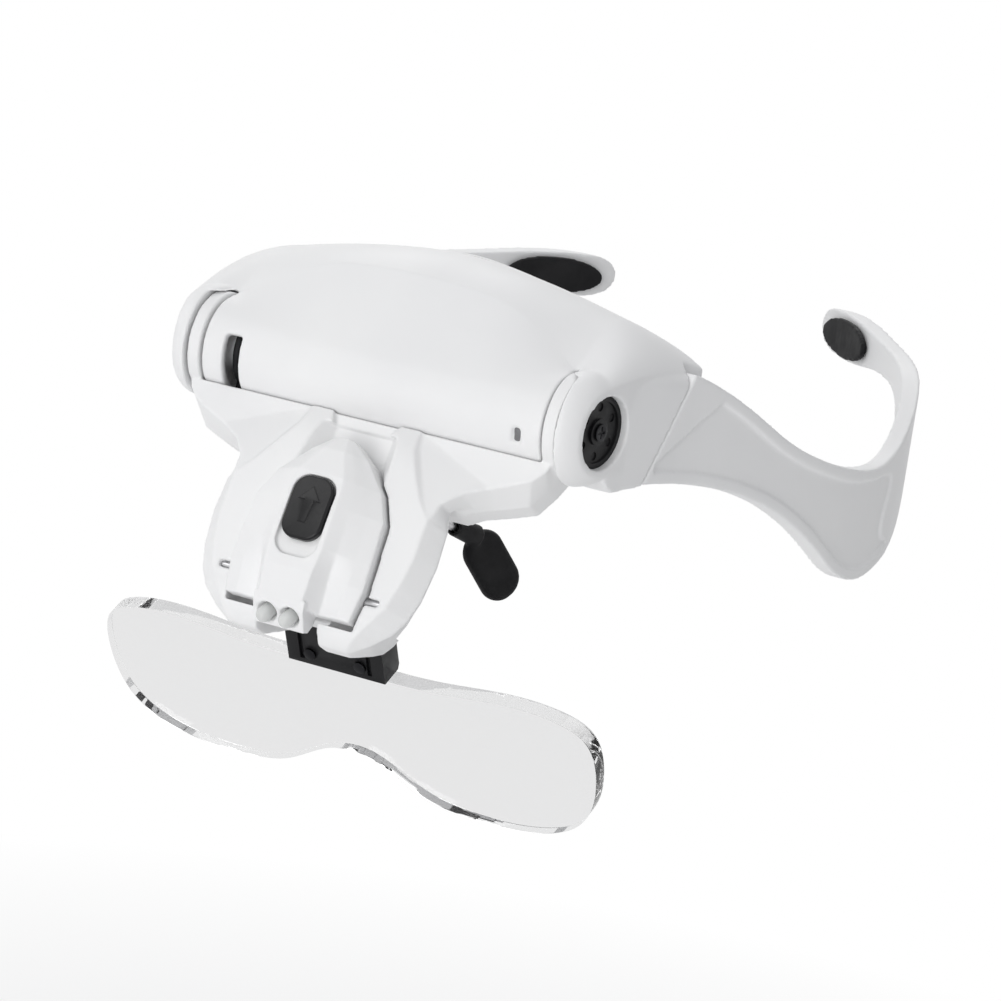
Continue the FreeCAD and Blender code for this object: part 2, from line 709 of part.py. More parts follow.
def disc_screw():
    front = -disc_sunk + 0.1
    head = rod_x(disc_screw_r + 0.8, front, front + 0.5)
    shank = rod_x(disc_screw_r, -disc_sunk - disc_t - disc_screw_grip, front)
    cross = fuse(box(front + 0.2, front + 1, -1.2, 1.2, -0.25, 0.25),
                 box(front + 0.2, front + 1, -0.25, 0.25, -1.2, 1.2))
    return on_cheek(fuse(head, shank).cut(cross))


def pivot_pin():
    return rod_x(pivot_pin_r - run_fit, hood_half - pivot_pin_depth + 0.2,
                 slot_out + pivot_pin_seat - 0.1)


def pivot_washer():
    """The friction washer between the hood's end wall and the ear."""
    ring = rod_x(washer_r, slot_in, slot_in + washer_t)
    return ring.cut(rod_x(pivot_pin_r, slot_in - 1, slot_in + 2))


# ---- arms -------------------------------------------------------------------------------------
def inset_edge(points, t):
    """The points moved to the right of their direction of travel by t."""
    moved = []
    for i, (y, z) in enumerate(points):
        y0, z0 = points[max(0, i - 1)]
        y1, z1 = points[min(len(points) - 1, i + 1)]
        length = math.hypot(y1 - y0, z1 - z0)
        moved.append((y + (z1 - z0) / length * t, z - (y1 - y0) / length * t))
    return moved


def arm_panel():
    """The shallow recess in the arm's outer face, inside a raised rim."""
    top = [p for p in inset_edge(arm_top_edge, arm_rim) if 24.0 < p[0] < 94.0]
    low = [p for p in inset_edge(arm_low_edge, arm_rim) if 14.0 < p[0] < 99.0]
    end = [(94.5, -17.0), (92.5, -24.0)]
    panel = side_form(top, end, low).common(arm_band(-1.0, arm_recess, -60.0, 40.0))
    return panel.common(behind_joint(1.2))


def arm():
    body = side_form(arm_top_edge, arm_tip, arm_low_edge)
    body = body.common(arm_band(0.0, arm_wall, -60.0, 40.0)).common(behind_joint(plug_gap))
    return fuse(body.cut(arm_panel()), tongue_form(0.0))


def arm_pad():
    """The oval soft pad inside the hook, shaped to the band."""
    strip = arm_band(arm_wall + seat_gap, arm_wall + seat_gap + arm_pad_t, -30.0, 30.0)
    before = [p for p in arm_plan if p[0] > arm_pad_x and p[1] > 100.0][-1]
    after = arm_plan[arm_plan.index(before) + 1]
    slant = math.atan2(after[1] - before[1], after[0] - before[0])
    share = (before[0] - arm_pad_x) / (before[0] - after[0])
    pad_y = before[1] + share * (after[1] - before[1])
    oval = Part.Wire([Part.Ellipse(O, arm_pad_length / 2, arm_pad_height / 2).toShape()])
    tool = prism(oval, V(0, 0, 40))
    tool.translate(V(0, 0, -20))
    tool.rotate(O, X, 90)
    tool.rotate(O, Z, math.degrees(slant))
    tool.translate(V(arm_pad_x, pad_y, arm_pad_z))
    return strip.common(tool)


# ---- visor bracket ------------------------------------------------------------------------------
def face_wire(half, h):
    return polygon([V(x, -down, h) for x, down in whole(half)])


def face_loft(*levels):
    """A ruled solid through outlines (h, half outline) that have the same corners."""
    return Part.makeLoft([face_wire(half, h) for h, half in levels], True, True)


def face_block(half, low, high):
    return on_face(prism(face_wire(half, low), V(0, 0, high - low)))


def wing_form():
    front = [(0.0, wing_top), (wing_half, wing_top)] + [e[0] for e in wing_edge]
    full = [(0.0, wing_top), (wing_half, wing_top)] + [e[1] for e in wing_edge]
    front.append((0.0, front[-1][1]))
    full.append((0.0, full[-1][1]))
    return on_face(face_loft((0.0, front), (-wing_bevel, full), (-wing_depth, full)))


def leg_side():
    """The legs from the side: the crowned face, the bottom lip and the stepped back."""
    crown = [V(0, *face_yz(s, h)) for s, h in leg_crown]
    rest = [face_yz(leg_bottom + 0.6, -2.0), (-15.2, -48.9), (-15.2, -45.2), (-19.6, -43.8),
            face_yz(33.0, leg_rear), face_yz(12.0, leg_rear), face_yz(4.0, -wing_depth),
            face_yz(-1.5, -wing_depth)]
    points = [crown[-1]] + [V(0, y, z) for y, z in rest] + [crown[0]]
    back = [line(a, b) for a, b in zip(points, points[1:])]
    wire = Part.Wire([spline(crown).toShape()] + back)
    wire.translate(V(-30, 0, 0))
    return prism(wire, V(60, 0, 0))


def leg_form():
    foot = [(0.0, leg_edge[0][0][1])] + [e[0] for e in leg_edge] + [(0.0, leg_edge[-1][0][1])]
    face = [(0.0, leg_edge[0][1][1])] + [e[1] for e in leg_edge] + [(0.0, leg_edge[-1][1][1])]
    deep = [(x * leg_taper, down) for x, down in foot]
    return on_face(face_loft((leg_deep, deep), (0.0, foot), (leg_rise + 0.3, face))) \
        .common(leg_side())


def web_form():
    """The sloping web between a wing and its leg, under their common crease."""
    levels = []
    for i, h in enumerate((-wing_bevel, 0.0, wing_bevel)):
        outline = [V(x, -down, h) for x, down in (edge[i] for edge in web_edge)]
        x, down = web_slope[0][:2]
        outline += [V(x, -web_edge[-1][i][1], h), V(x, -down, h)]
        levels.append(polygon(outline))
    corners = [V(x, -down, h) for x, down, h in web_slope]
    slope = Part.Face(polygon(corners))
    normal = (corners[1] - corners[0]).cross(corners[2] - corners[0])
    if normal.z < 0:
        normal = normal * -1
    middle = corners[0] + (corners[1] - corners[0]) * 0.5
    plane = Part.makePlane(200, 200, middle, normal)
    plane.translate(middle - plane.CenterOfMass)
    above = plane.extrude(normal.normalize() * 40)
    return on_face(Part.makeLoft(levels, True, True).cut(above)).common(leg_side())


def spine_form():
    """The closed back behind the lamp, which carries the wires and the nose rest."""
    outline = [(0.0, spine_top), (spine_half, spine_top), (spine_half, spine_bottom - 3.0),
               (spine_half - 3.0, spine_bottom), (0.0, spine_bottom)]
    return face_block(outline, spine_rear, 0.0)


def ear():
    """The disc in the hood's slot and the end of the wing that carries it."""
    disc = rod_x(ear_r, ear_in, ear_in + ear_t)
    side = rod_x(2 * ear_r, ear_in, ear_in + ear_t)
    behind = box(ear_in - 1, ear_in + ear_t + 1, -3 * ear_r, 1.5, -3 * ear_r, ear_neck_top)
    return fuse(disc, wing_form().common(side).common(behind))


lamp_axis_y, lamp_axis_z = face_yz(lamp_axis_down, lamp_axis_out)


def lamp_axis_rod(r, x0, x1):
    return rod_x(r, x0, x1, lamp_axis_y, lamp_axis_z)


def lamp_recess():
    """The pocket that the lamp folds into, with room for its heel and nose to swing."""
    half = [(0.0, lamp_stations[0][0] - recess_gap)]
    half += [(width + recess_gap, down - recess_gap * (down < 10)) for down, width, *_ in
             lamp_stations]
    end_down, end_half, end_edge = lamp_stations[-1][:3]
    half += [(end_half + recess_gap, end_down + recess_gap), (0.0, end_down + recess_gap)]
    pocket = face_block(half, recess_floor, 30.0)
    reach = math.hypot(end_down - lamp_axis_down, end_edge - lamp_axis_out) + recess_gap
    heel = lamp_axis_rod(reach, -end_half - recess_gap, end_half + recess_gap)
    heel = heel.common(face_block([(0, 20), (40, 20), (40, 60), (0, 60)], -5.2, 30.0))
    nose_reach = math.hypot(nose_end - lamp_axis_down, nose_low - lamp_axis_out) + recess_gap
    nose = lamp_axis_rod(nose_reach, -nose_half - recess_gap, nose_half + recess_gap)
    nose = nose.common(face_block([(0, 30), (20, 30), (20, 60), (0, 60)], -5.2, 30.0))
    return fuse(pocket, heel, nose, lip_notch())


def lamp_pin_ways():
    """The slots through which the lamp's pins snap into their bores from the front."""
    way = on_face(box(0, lamp_pin_end, -lamp_axis_down - 0.8 * lamp_pin_r,
                      -lamp_axis_down + 0.8 * lamp_pin_r, lamp_axis_out, 4 * lamp_axis_out))
    return both(way)


def lip_notch():
    """The notch through the bottom lip, which widens downwards."""
    top, low = leg_bottom - 5.5, leg_bottom + 6.0
    wire = polygon([V(-notch_half, -top, 0), V(notch_half, -top, 0),
                    V(notch_half + notch_spread, -low, 0), V(-notch_half - notch_spread, -low, 0)])
    prism_down = on_face(prism(wire, V(0, 0, -30)).translated(V(0, 0, 12)))
    return prism_down.common(box(-20, 20, -60, -15.1, -60, -40))


def channel():
    """The V-shaped dip above the lamp, under the thin bar."""
    rim = [(0.0, channel_lip), (channel_half - 0.4, channel_lip), (channel_half, 3.0),
           (channel_half, channel_bottom), (0.0, channel_bottom)]
    floor = [(0.0, channel_lip), (channel_floor_half, channel_lip), (channel_floor_half, 3.0),
             (channel_floor_half, channel_bottom), (0.0, channel_bottom)]
    high = 6.0
    grown = [(x + (channel_half - channel_floor_half) * 0.8 * (x > 0), s) for x, s in rim]
    return on_face(face_loft((recess_floor, floor), (leg_rise - 0.4, rim), (high, grown)))


def bar_relief():
    """Thins the bar across the channel's top."""
    outline = [(0.0, -4.0), (channel_half - 1.0, -4.0), (channel_floor_half, channel_lip),
               (0.0, channel_lip)]
    return face_block(outline, -0.5, 10.0)


def wire_duct():
    """The hollow between the lamp recess and the rear cover."""
    inset = 2.6
    outline = [(0.0, cover_top + inset), (cover_half - inset, cover_top + inset),
               (cover_half - inset, cover_bottom - inset), (0.0, cover_bottom - inset)]
    return face_block(outline, spine_rear - 1, recess_floor - floor_t)


def cover_outline(grow):
    return [(0.0, cover_top - grow), (cover_half + grow, cover_top - grow),
            (cover_half + grow, cover_bottom + grow), (0.0, cover_bottom + grow)]


def cover_screw_axes():
    downs = (cover_top + cover_screw_inset, cover_bottom - cover_screw_inset)
    return [(side * cover_screw_x, -down) for side in (1, -1) for down in downs]


def cover_screw_rods(r, out0, out1):
    rods = [Part.makeCylinder(r, out1 - out0, V(x, t, out0), Z) for x, t in cover_screw_axes()]
    return on_face(Part.makeCompound(rods))


def clip_socket():
    """The block behind the lip that takes the clip's tongue."""
    half = clip_tongue_half + plug_gap + socket_wall
    low_front, low_rear = lens_yz(clip_height + 0.2, clip_front + 0.3), \
        lens_yz(clip_height + 0.2, clip_rear - 1.2)
    top = clip_height + clip_tongue + 2.2
    high_rear = lens_yz(top, clip_rear - 1.2)
    side = [(-15.2, -45.2), low_front, low_rear, high_rear,
            face_yz(cover_bottom + 1.8, spine_rear + 1.5), (-19.6, -43.8)]
    return prism_x(side, -half, half)


def clip_pocket():
    half, g = clip_tongue_half, plug_gap
    inset = clip_tongue_inset
    return on_lens(box(-half - g, half + g, clip_height - 1, clip_height + clip_tongue + 0.5,
                       clip_rear + inset - g, clip_front - inset + g))


def visor_bracket():
    reach = 2 * wing_half
    body = fuse(wing_form(), web_form(), mirrored(web_form()), leg_form(), spine_form(),
                clip_socket())
    body = cut(body, rod_x(wing_r, -ear_in, ear_in), box(-ear_in, ear_in, -reach, reach, 0, reach))
    body = body.common(box(-ear_in, ear_in, -reach, reach, -reach, reach))
    body = fuse(body, ear(), mirrored(ear()))
    body = cut(body, lamp_recess(), channel(), bar_relief(), wire_duct(), clip_pocket(),
               on_face(prism(face_wire(cover_outline(plug_gap), spine_rear - 1),
                             V(0, 0, 1 + cover_t))),
               cover_screw_rods(screw_r, spine_rear, spine_rear + screw_length + 0.3),
               lamp_axis_rod(lamp_pin_r, -lamp_pin_end, lamp_pin_end), lamp_pin_ways(),
               rod_x(pivot_pin_r + run_fit, -reach, reach),
               lead_run(lead_r + 0.15, roll_r - 1.0, lead_end_r + 0.3))
    return max(body.removeSplitter().Solids, key=lambda s: s.Volume)


def bracket_back_cover():
    plate = on_face(prism(face_wire(cover_outline(0.0), spine_rear), V(0, 0, cover_t)))
    return cut(plate, cover_screw_rods(screw_r + 0.15, spine_rear - 1, spine_rear + 4),
               cover_screw_rods(screw_head_r + 0.1, spine_rear - 1, spine_rear + screw_head_t))


def bracket_screws():
    heads = cover_screw_rods(screw_head_r, spine_rear, spine_rear + screw_head_t)
    shanks = cover_screw_rods(screw_r, spine_rear, spine_rear + screw_length)
    pairs = zip(heads.Solids, shanks.Solids)
    return Part.makeCompound([fuse(head, shank) for head, shank in pairs])


# ---- lamp ---------------------------------------------------------------------------------------
def lamp_section(station):
    down, w, edge, lobe, valley, ridge = station
    half = [ridge, valley, lobe, (w, edge), (w - 0.3, lamp_base)]
    ring = [V(-x, -down, h) for x, h in reversed(half)] + [V(x, -down, h) for x, h in half]
    return polygon(ring)


def lamp_nose():
    side = [(-38.5, nose_low), (-38.5, 9.0), (-40.6, 8.3), (-nose_end, 5.0),
            (-nose_end + 0.6, 3.4), (-41.5, nose_low)]
    wire = polygon([V(-nose_half, t, h) for t, h in side])
    return prism(wire, V(2 * nose_half, 0, 0))


def lamp_heel_cut():
    """Rounds the lamp's heel about its own pins so that it swings clear."""
    block = box(-40, 40, -50, -lamp_axis_down, -20, lamp_axis_out)
    keep = rod_x(lamp_axis_out - lamp_base, -40, 40, -lamp_axis_down, lamp_axis_out)
    return block.cut(keep)


def lamp_body():
    body = Part.makeLoft([lamp_section(s) for s in lamp_stations], True, True)
    return fuse(body.cut(lamp_heel_cut()), lamp_nose())


led_lean = math.radians(45.0)
led_way = FreeCAD.Vector(0, -math.sin(led_lean), math.cos(led_lean))
led_down, led_out = 41.0, 6.1


def led_places():
    return [V(side * led_pitch / 2, -led_down, led_out) for side in (1, -1)]


def lamp_hollow():
    """The room for the switch and its board; the rear cover closes it."""
    return box(-lamp_room_half, lamp_room_half, -lamp_room_bottom, -lamp_room_top,
               lamp_base - 1, lamp_room_high)


def lamp_housing():
    neck = box(-4.2, 4.2, -38.6, -lamp_room_bottom + 0.5, 1.2, 5.2)
    track = rounded_block(switch_width / 2 + slide_gap, switch_top - slide_gap,
                          switch_top + switch_length + switch_travel + slide_gap, 9.3, 14.0)
    stem = box(-1.6, 1.6, -switch_top - 9.4 - switch_travel, -switch_top - 4.6,
               lamp_room_high - 1, 12.0)
    body = cut(lamp_body(), lamp_hollow(), neck, track, stem)
    for place in led_places():
        body = body.cut(Part.makeCylinder(led_r + 0.05, 12.0, place - led_way * 5.0, led_way))
        body = body.cut(Part.makeCone(led_r + 0.1, led_cup_r, 2.4, place - led_way * 0.2, led_way))
    for side in (1, -1):
        bore = rod_x(lamp_pin_r + run_fit, 11.8, 20, -lamp_axis_down, lamp_axis_out)
        body = body.cut(bore if side > 0 else mirrored(bore))
    return on_face(max(body.Solids, key=lambda s: s.Volume))


def rounded_block(half, top, bottom, low, high):
    """An upright block with round corners, its ends given down the face."""
    wire = rounded_rectangle(-half, half, -bottom, -top, 3.2, low)
    return prism(wire, V(0, 0, high - low))


def rounded_rectangle(x0, x1, y0, y1, c, z):
    s = c * (1 - math.sqrt(0.5))
    p = [V(x0 + c, y0, z), V(x1 - c, y0, z), V(x1, y0 + c, z), V(x1, y1 - c, z),
         V(x1 - c, y1, z), V(x0 + c, y1, z), V(x0, y1 - c, z), V(x0, y0 + c, z)]
    m = [V(x1 - s, y0 + s, z), V(x1 - s, y1 - s, z), V(x0 + s, y1 - s, z), V(x0 + s, y0 + s, z)]
    edges = []
    for i in range(4):
        edges.append(line(p[2 * i], p[2 * i + 1]))
        edges.append(Part.Arc(p[2 * i + 1], m[i], p[(2 * i + 2) % 8]).toShape())
    return Part.Wire(edges)


def lamp_back_cover():
    g = plug_gap
    return on_face(box(-lamp_room_half + g, lamp_room_half - g, -lamp_room_bottom + g,
                       -lamp_room_top - g, lamp_base, lamp_base + 1.2))


def lamp_switch():
    """The slider's cap with its raised arrow, and its foot through the slot."""
    cap = rounded_block(switch_width / 2, switch_top, switch_top + switch_length, 9.4,
                        switch_high)
    rim = [e for e in cap.Edges if e.BoundBox.ZMin > switch_high - 0.01]
    cap = cap.makeFillet(0.5, rim)
    mid = -switch_top - switch_length / 2
    low = switch_high - 0.05
    shaft = box(-0.9, 0.9, mid - 3.0, mid + 1.4, low, low + 0.25)
    head = prism(polygon([V(-2.3, mid + 1.4, low), V(2.3, mid + 1.4, low),
                          V(0, mid + 4.2, low)]), V(0, 0, 0.25))
    foot = box(-1.4, 1.4, -switch_top - 9.2, -switch_top - 4.8, lamp_room_high - 0.4, 9.5)
    return on_face(fuse(cap, shaft, head, foot))


def switch_body():
    """The slide switch on the lamp's board, under the slider."""
    return on_face(box(-3.2, 3.2, -switch_top - 14.0, -switch_top - 2.0, board_high,
                       lamp_room_high - 0.6))


def led_board():
    return on_face(box(-lamp_room_half + 0.6, lamp_room_half - 0.6, -lamp_room_bottom + 0.6,
                       -lamp_room_top - 0.6, board_high - board_t, board_high))


def lamp_leds():
    leds = []
    for place in led_places():
        back = place - led_way * 1.9
        body = Part.makeCylinder(led_r, 4.2, back, led_way)
        dome = Part.makeSphere(led_r, back + led_way * 4.2)
        leds.append(on_face(fuse(body, dome)))
    return Part.makeCompound(leds)


def lamp_pins():
    return both(lamp_axis_rod(lamp_pin_r, 12.4, lamp_pin_end))


# ---- lens and its clip ---------------------------------------------------------------------------
def lens_outline():
    """Half of the lens front: a nearly straight top, a full outer lobe and the nose notch."""
    return [V(0, 0, 0), V(20.0, 0.15, 0), V(lens_half - 9.0, lens_rise, 0),
            V(lens_half - 2.0, lens_rise - 3.0, 0), V(lens_half, -lens_side, 0),
            V(lens_half - 5.4, -24.6, 0), V(41.5, -29.0, 0), V(lens_lobe_x, -lens_drop, 0),
            V(16.0, -28.4, 0), V(8.0, -23.6, 0), V(0, -lens_notch, 0)]


def lens_blank():
    """The front outline; each half leaves and meets the middle level."""
    curve = Part.BSplineCurve()
    curve.interpolate(Points=lens_outline(), InitialTangent=X, FinalTangent=X * -1)
    right = curve.toShape()
    return Part.Wire([right, right.mirror(O, X)])


def clip_screw_rods(r, out0, out1):
    rods = [Part.makeCylinder(r, out1 - out0, V(x, clip_screw_up, out0), Z)
            for x in (-clip_screw_x, clip_screw_x)]
    return Part.makeCompound(rods)


def lens():
    mid = -lens_t / 2
    tab = box(-tab_half, tab_half, -1.5, tab_height, mid - tab_t / 2, mid + tab_t / 2)
    body = fuse(prism(lens_blank(), V(0, 0, -lens_t)), tab)
    return on_lens(body.cut(clip_screw_rods(clip_screw_r + 0.1, -12, 8)))


def lens_clip():
    body = box(-clip_half, clip_half, plug_gap, clip_height, clip_rear, clip_front)
    chamfer = prism_x([(-1, clip_rear - 1), (-1, clip_rear + 1.4), (2.6, clip_rear - 1)],
                      -20, 20)
    corners = [e for e in body.Edges if e.BoundBox.ZLength > 1.0 and e.BoundBox.YMin > 1.0]
    body = body.makeFillet(clip_corner, corners).cut(chamfer)
    half, inset, g = clip_tongue_half, clip_tongue_inset, plug_gap
    tongue = box(-half, half, clip_height - 0.5, clip_height + clip_tongue,
                 clip_rear + inset, clip_front - inset)
    mid = -lens_t / 2
    pocket = box(-tab_half - g, tab_half + g, -1, tab_height + g, mid - tab_t / 2 - g,
                 mid + tab_t / 2 + g)
    body = cut(fuse(body, tongue), pocket, clip_screw_rods(clip_screw_r, -12, 8))
    for x in (-clip_slot_x, clip_slot_x):
        body = body.cut(box(x - clip_slot_width / 2, x + clip_slot_width / 2, 1.2,
                            clip_height - 1.5, clip_front - 0.8, clip_front + 1))
    return on_lens(body)


def clip_screws():
    head = clip_screw_rods(clip_screw_head_r, clip_front, clip_front + clip_screw_head_t)
    shank = clip_screw_rods(clip_screw_r, clip_rear, clip_front)
    screws = [on_lens(fuse(a, b)) for a, b in zip(head.Solids, shank.Solids)]
    return Part.makeCompound(screws)


# ---- nose rest --------------------------------------------------------------------------------------
nose_pad_middle = V(12.6, 29.2, -38.2)
nose_pad_axis = V(0.35, 0.5, -0.79)
nose_pad_normal = V(-0.86, 0.50, -0.06)


def nose_pad():
    """One soft paddle: an oval plate, rounded all over, with a neck that sleeves the wire."""
    long_way = V(*nose_pad_axis).normalize()
    normal = V(*nose_pad_normal)
    normal = (normal - long_way * normal.dot(long_way)).normalize()
    across = normal.cross(long_way)
    half_l, half_w = nose_pad_length / 2, nose_pad_width / 2
    outline = rounded_rectangle(-half_l, half_l, -half_w, half_w, 0.95 * half_w,
                                -nose_pad_t / 2)
    plate = prism(outline, V(0, 0, nose_pad_t))
    rims = [e for e in plate.Edges if e.BoundBox.ZLength < 0.01]
    plate = plate.makeFillet(0.4 * nose_pad_t, rims)
    m = nose_pad_middle
    turned = FreeCAD.Rotation(long_way, across, normal, "XZY")
    plate.Placement = FreeCAD.Placement(m, turned).multiply(plate.Placement)
    before, tip = [V(*point) for point in nose_wire_path[-2:]]
    way = (tip - before).normalize()
    start = tip - way * (nose_neck_length - 1.5)
    neck = Part.makeCone(nose_neck_end_r, nose_neck_r, nose_neck_length, start, way)
    bore = Part.makeCylinder(nose_wire_r + seat_gap, nose_neck_length + 1.0 - 1.5 + seat_gap,
                             start - way, way)
    return fuse(plate, neck).cut(bore)


def nose_bridge():
    """A foot on the rear cover and two springy wires to the pads."""
    width, height, deep = nose_foot
    foot = on_face(box(-width / 2, width / 2, -nose_foot_down - height, -nose_foot_down,
                       spine_rear - deep, spine_rear))
    start_y, start_z = face_yz(nose_foot_down + height / 2, spine_rear - deep + 0.6)
    wires = []
    for side in (1, -1):
        points = [V(side * width / 3, start_y, start_z)]
        points += [V(side * x, y, z) for x, y, z in nose_wire_path]
        wires.append(bent_rod(points, nose_wire_r, nose_wire_bend))
    return fuse(foot, *wires)


# ---- lead ----------------------------------------------------------------------------------------------
def lead_run(r, start, stop):
    """A round bar along the lead's straight end, from start to stop off the tilt axis."""
    a = math.radians(lead_turn)
    way, aside = V(0, math.cos(a), math.sin(a)), V(0, -math.sin(a), math.cos(a))
    foot = V(lead_x, 0, 0) + aside * lead_bend + way * start
    return Part.makeCylinder(r, stop - start, foot, way)


def lamp_lead():
    """The lead's bend round the tilt axis, its turn outward and its end in the wing."""
    ring = Part.Face(Part.Wire([Part.Circle(V(lead_x, lead_path_r, 0), Z, lead_r).toShape()]))
    ring.rotate(O, X, lead_start)
    bend = ring.revolve(O, X, lead_turn - lead_start)
    turned = Part.Face(Part.Wire([Part.Circle(V(lead_x, lead_path_r, 0), Z, lead_r).toShape()]))
    turned = turned.revolve(V(lead_x, lead_path_r + lead_bend, 0), X * -1, 90)
    turned.rotate(O, X, lead_turn)
    return fuse(bend, turned, lead_run(lead_r, lead_path_r + lead_bend, lead_end_r))


# ---- export ---------------------------------------------------------------------------------------------
def export(name, shape):
    moved = shape.copy()
    moved.translate(V(0, -seat_y, -seat_z))
    moved.exportStep("parts/" + name + ".step")
    print(name, "solids", len(moved.Solids), "valid", moved.isValid(),
          "volume", round(moved.Volume, 1))


def main():
    export("hood_shell", hood_shell())
    export("hood_back_cover", hood_back_cover())
    export("battery_door", battery_door())
    export("battery_cells", battery_cells())
    export("battery_contacts", battery_contacts())
    export("battery_tray", battery_tray())
    export("forehead_pad", forehead_pad())
    export("left_pivot_disc", pivot_disc())
    export("right_pivot_disc", mirrored(pivot_disc()))
    export("disc_screws", both(disc_screw()))
    export("pivot_pins", both(pivot_pin()))
    export("pivot_washers", both(pivot_washer()))
    export("left_arm", arm())
    export("right_arm", mirrored(arm()))
    export("left_arm_pad", arm_pad())
    export("right_arm_pad", mirrored(arm_pad()))
    export("visor_bracket", visor_bracket())
    export("bracket_back_cover", bracket_back_cover())
    export("bracket_screws", bracket_screws())
    export("lamp_housing", lamp_housing())
    export("lamp_back_cover", lamp_back_cover())
    export("lamp_switch", lamp_switch())
    export("switch_body", switch_body())
    export("led_board", led_board())
    export("lamp_leds", lamp_leds())
    export("lamp_pivot_pins", lamp_pins())
    export("lens", lens())
    export("lens_clip", lens_clip())
    export("clip_screws", clip_screws())
    export("nose_bridge", nose_bridge())
    export("left_nose_pad", nose_pad())
    export("right_nose_pad", mirrored(nose_pad()))
    export("lamp_lead", lamp_lead())


main()
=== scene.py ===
# %% [markdown]
# # A head visor magnifier, dressed in Blender
#
# The solids come from the CAD model, already grouped into bodies that turn on joints. Here every
# piece that shows gets the surface of the real thing: softly moulded white plastic, black satin
# trim, clear acrylic, foam and rubber. Lengths are metres, and everything sits in the CAD frame:
# the origin is the middle of the forehead pad, +X is the wearer's left, +Y points back through
# the head and +Z is up.

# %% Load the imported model
import bpy
import math
from mathutils.bvhtree import BVHTree
from mathutils import Matrix, Vector


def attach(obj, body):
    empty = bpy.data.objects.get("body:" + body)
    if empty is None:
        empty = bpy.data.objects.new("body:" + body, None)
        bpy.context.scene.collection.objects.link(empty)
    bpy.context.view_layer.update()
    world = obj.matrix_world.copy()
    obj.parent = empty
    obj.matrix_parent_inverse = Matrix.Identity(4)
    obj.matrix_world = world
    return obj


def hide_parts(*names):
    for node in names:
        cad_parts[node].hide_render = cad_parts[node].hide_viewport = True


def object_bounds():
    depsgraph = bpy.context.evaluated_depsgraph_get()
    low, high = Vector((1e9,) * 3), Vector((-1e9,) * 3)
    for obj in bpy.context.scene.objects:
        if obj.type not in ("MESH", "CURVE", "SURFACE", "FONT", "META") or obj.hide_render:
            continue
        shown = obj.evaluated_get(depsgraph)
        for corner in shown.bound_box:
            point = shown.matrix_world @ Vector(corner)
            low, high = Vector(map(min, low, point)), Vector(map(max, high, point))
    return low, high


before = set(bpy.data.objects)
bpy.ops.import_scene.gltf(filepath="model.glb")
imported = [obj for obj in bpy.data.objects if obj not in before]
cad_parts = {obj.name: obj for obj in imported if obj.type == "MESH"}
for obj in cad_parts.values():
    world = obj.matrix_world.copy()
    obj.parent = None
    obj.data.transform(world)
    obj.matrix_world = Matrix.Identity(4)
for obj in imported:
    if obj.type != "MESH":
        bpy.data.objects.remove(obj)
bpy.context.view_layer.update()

mm = 0.001

# %% [markdown]
# ## The camera
#
# A long lens from far away keeps a small product free of distortion. The camera looks from the
# front, a little to the wearer's left and from just above, and it is rolled slightly, which makes
# the magnifier look as if it were lifted off the page. It is placed by the point that it looks at,
# so that the distance can change without losing the aim.

# %% Place the camera
aim = Vector((23.5, -27.3, -20.1)) * mm
azimuth, elevation, roll = math.radians(25.5), math.radians(12.68), math.radians(8.11)
distance = 774.96 * mm

back = Vector((math.cos(elevation) * math.sin(azimuth), -math.cos(elevation) * math.cos(azimuth),
               math.sin(elevation)))
camera_data = bpy.data.cameras.new("camera")
camera_data.lens = 143.86
camera_data.sensor_width = 36.0
camera_data.clip_start = 0.01
camera = bpy.data.objects.new("camera", camera_data)
bpy.context.scene.collection.objects.link(camera)
turn = (-back).to_track_quat("-Z", "Y").to_matrix() @ Matrix.Rotation(roll, 3, "Z")
camera.matrix_world = Matrix.Translation(aim + back * distance) @ turn.to_4x4()
bpy.context.scene.camera = camera
print("camera at", [round(v, 3) for v in camera.location])

# %% [markdown]
# ## Light, world and floor
#
# White plastic on white needs light that models it without burning out: a broad soft lamp in
# front, weaker ones high on the left, on the left, overhead and behind, and a dim grey world that
# fills the shadows. The right side has no lamp of its own, so the faces that turn that way fall off
# to a soft grey. What the camera and mirror-like surfaces see of the world is plain white. The
# floor lies a hand's breadth below the lens, catches the shadow of the visor, and fades to plain
# white further out.

# %% Build the world
scene = bpy.context.scene
scene.view_settings.view_transform = "Standard"
world = bpy.data.worlds.new("studio")
scene.world = world
world.use_nodes = True
nodes, links = world.node_tree.nodes, world.node_tree.links
nodes.clear()
seen = nodes.new("ShaderNodeBackground")
seen.inputs["Color"].default_value = (1.0, 1.0, 1.0, 1.0)
seen.inputs["Strength"].default_value = 1.0
fill = nodes.new("ShaderNodeBackground")
fill.inputs["Color"].default_value = (0.97, 0.98, 1.0, 1.0)
fill.inputs["Strength"].default_value = 0.43
rays = nodes.new("ShaderNodeLightPath")
direct = nodes.new("ShaderNodeMath")
direct.operation = "MAXIMUM"
through = nodes.new("ShaderNodeMath")
through.operation = "MAXIMUM"
choose = nodes.new("ShaderNodeMixShader")
output = nodes.new("ShaderNodeOutputWorld")
links.new(rays.outputs["Is Camera Ray"], direct.inputs[0])
links.new(rays.outputs["Is Glossy Ray"], direct.inputs[1])
links.new(direct.outputs[0], through.inputs[0])
links.new(rays.outputs["Is Transmission Ray"], through.inputs[1])
links.new(through.outputs[0], choose.inputs["Fac"])
links.new(fill.outputs[0], choose.inputs[1])
links.new(seen.outputs[0], choose.inputs[2])
links.new(choose.outputs[0], output.inputs["Surface"])


# %% Hang the lamps
lamp_size = 0.6


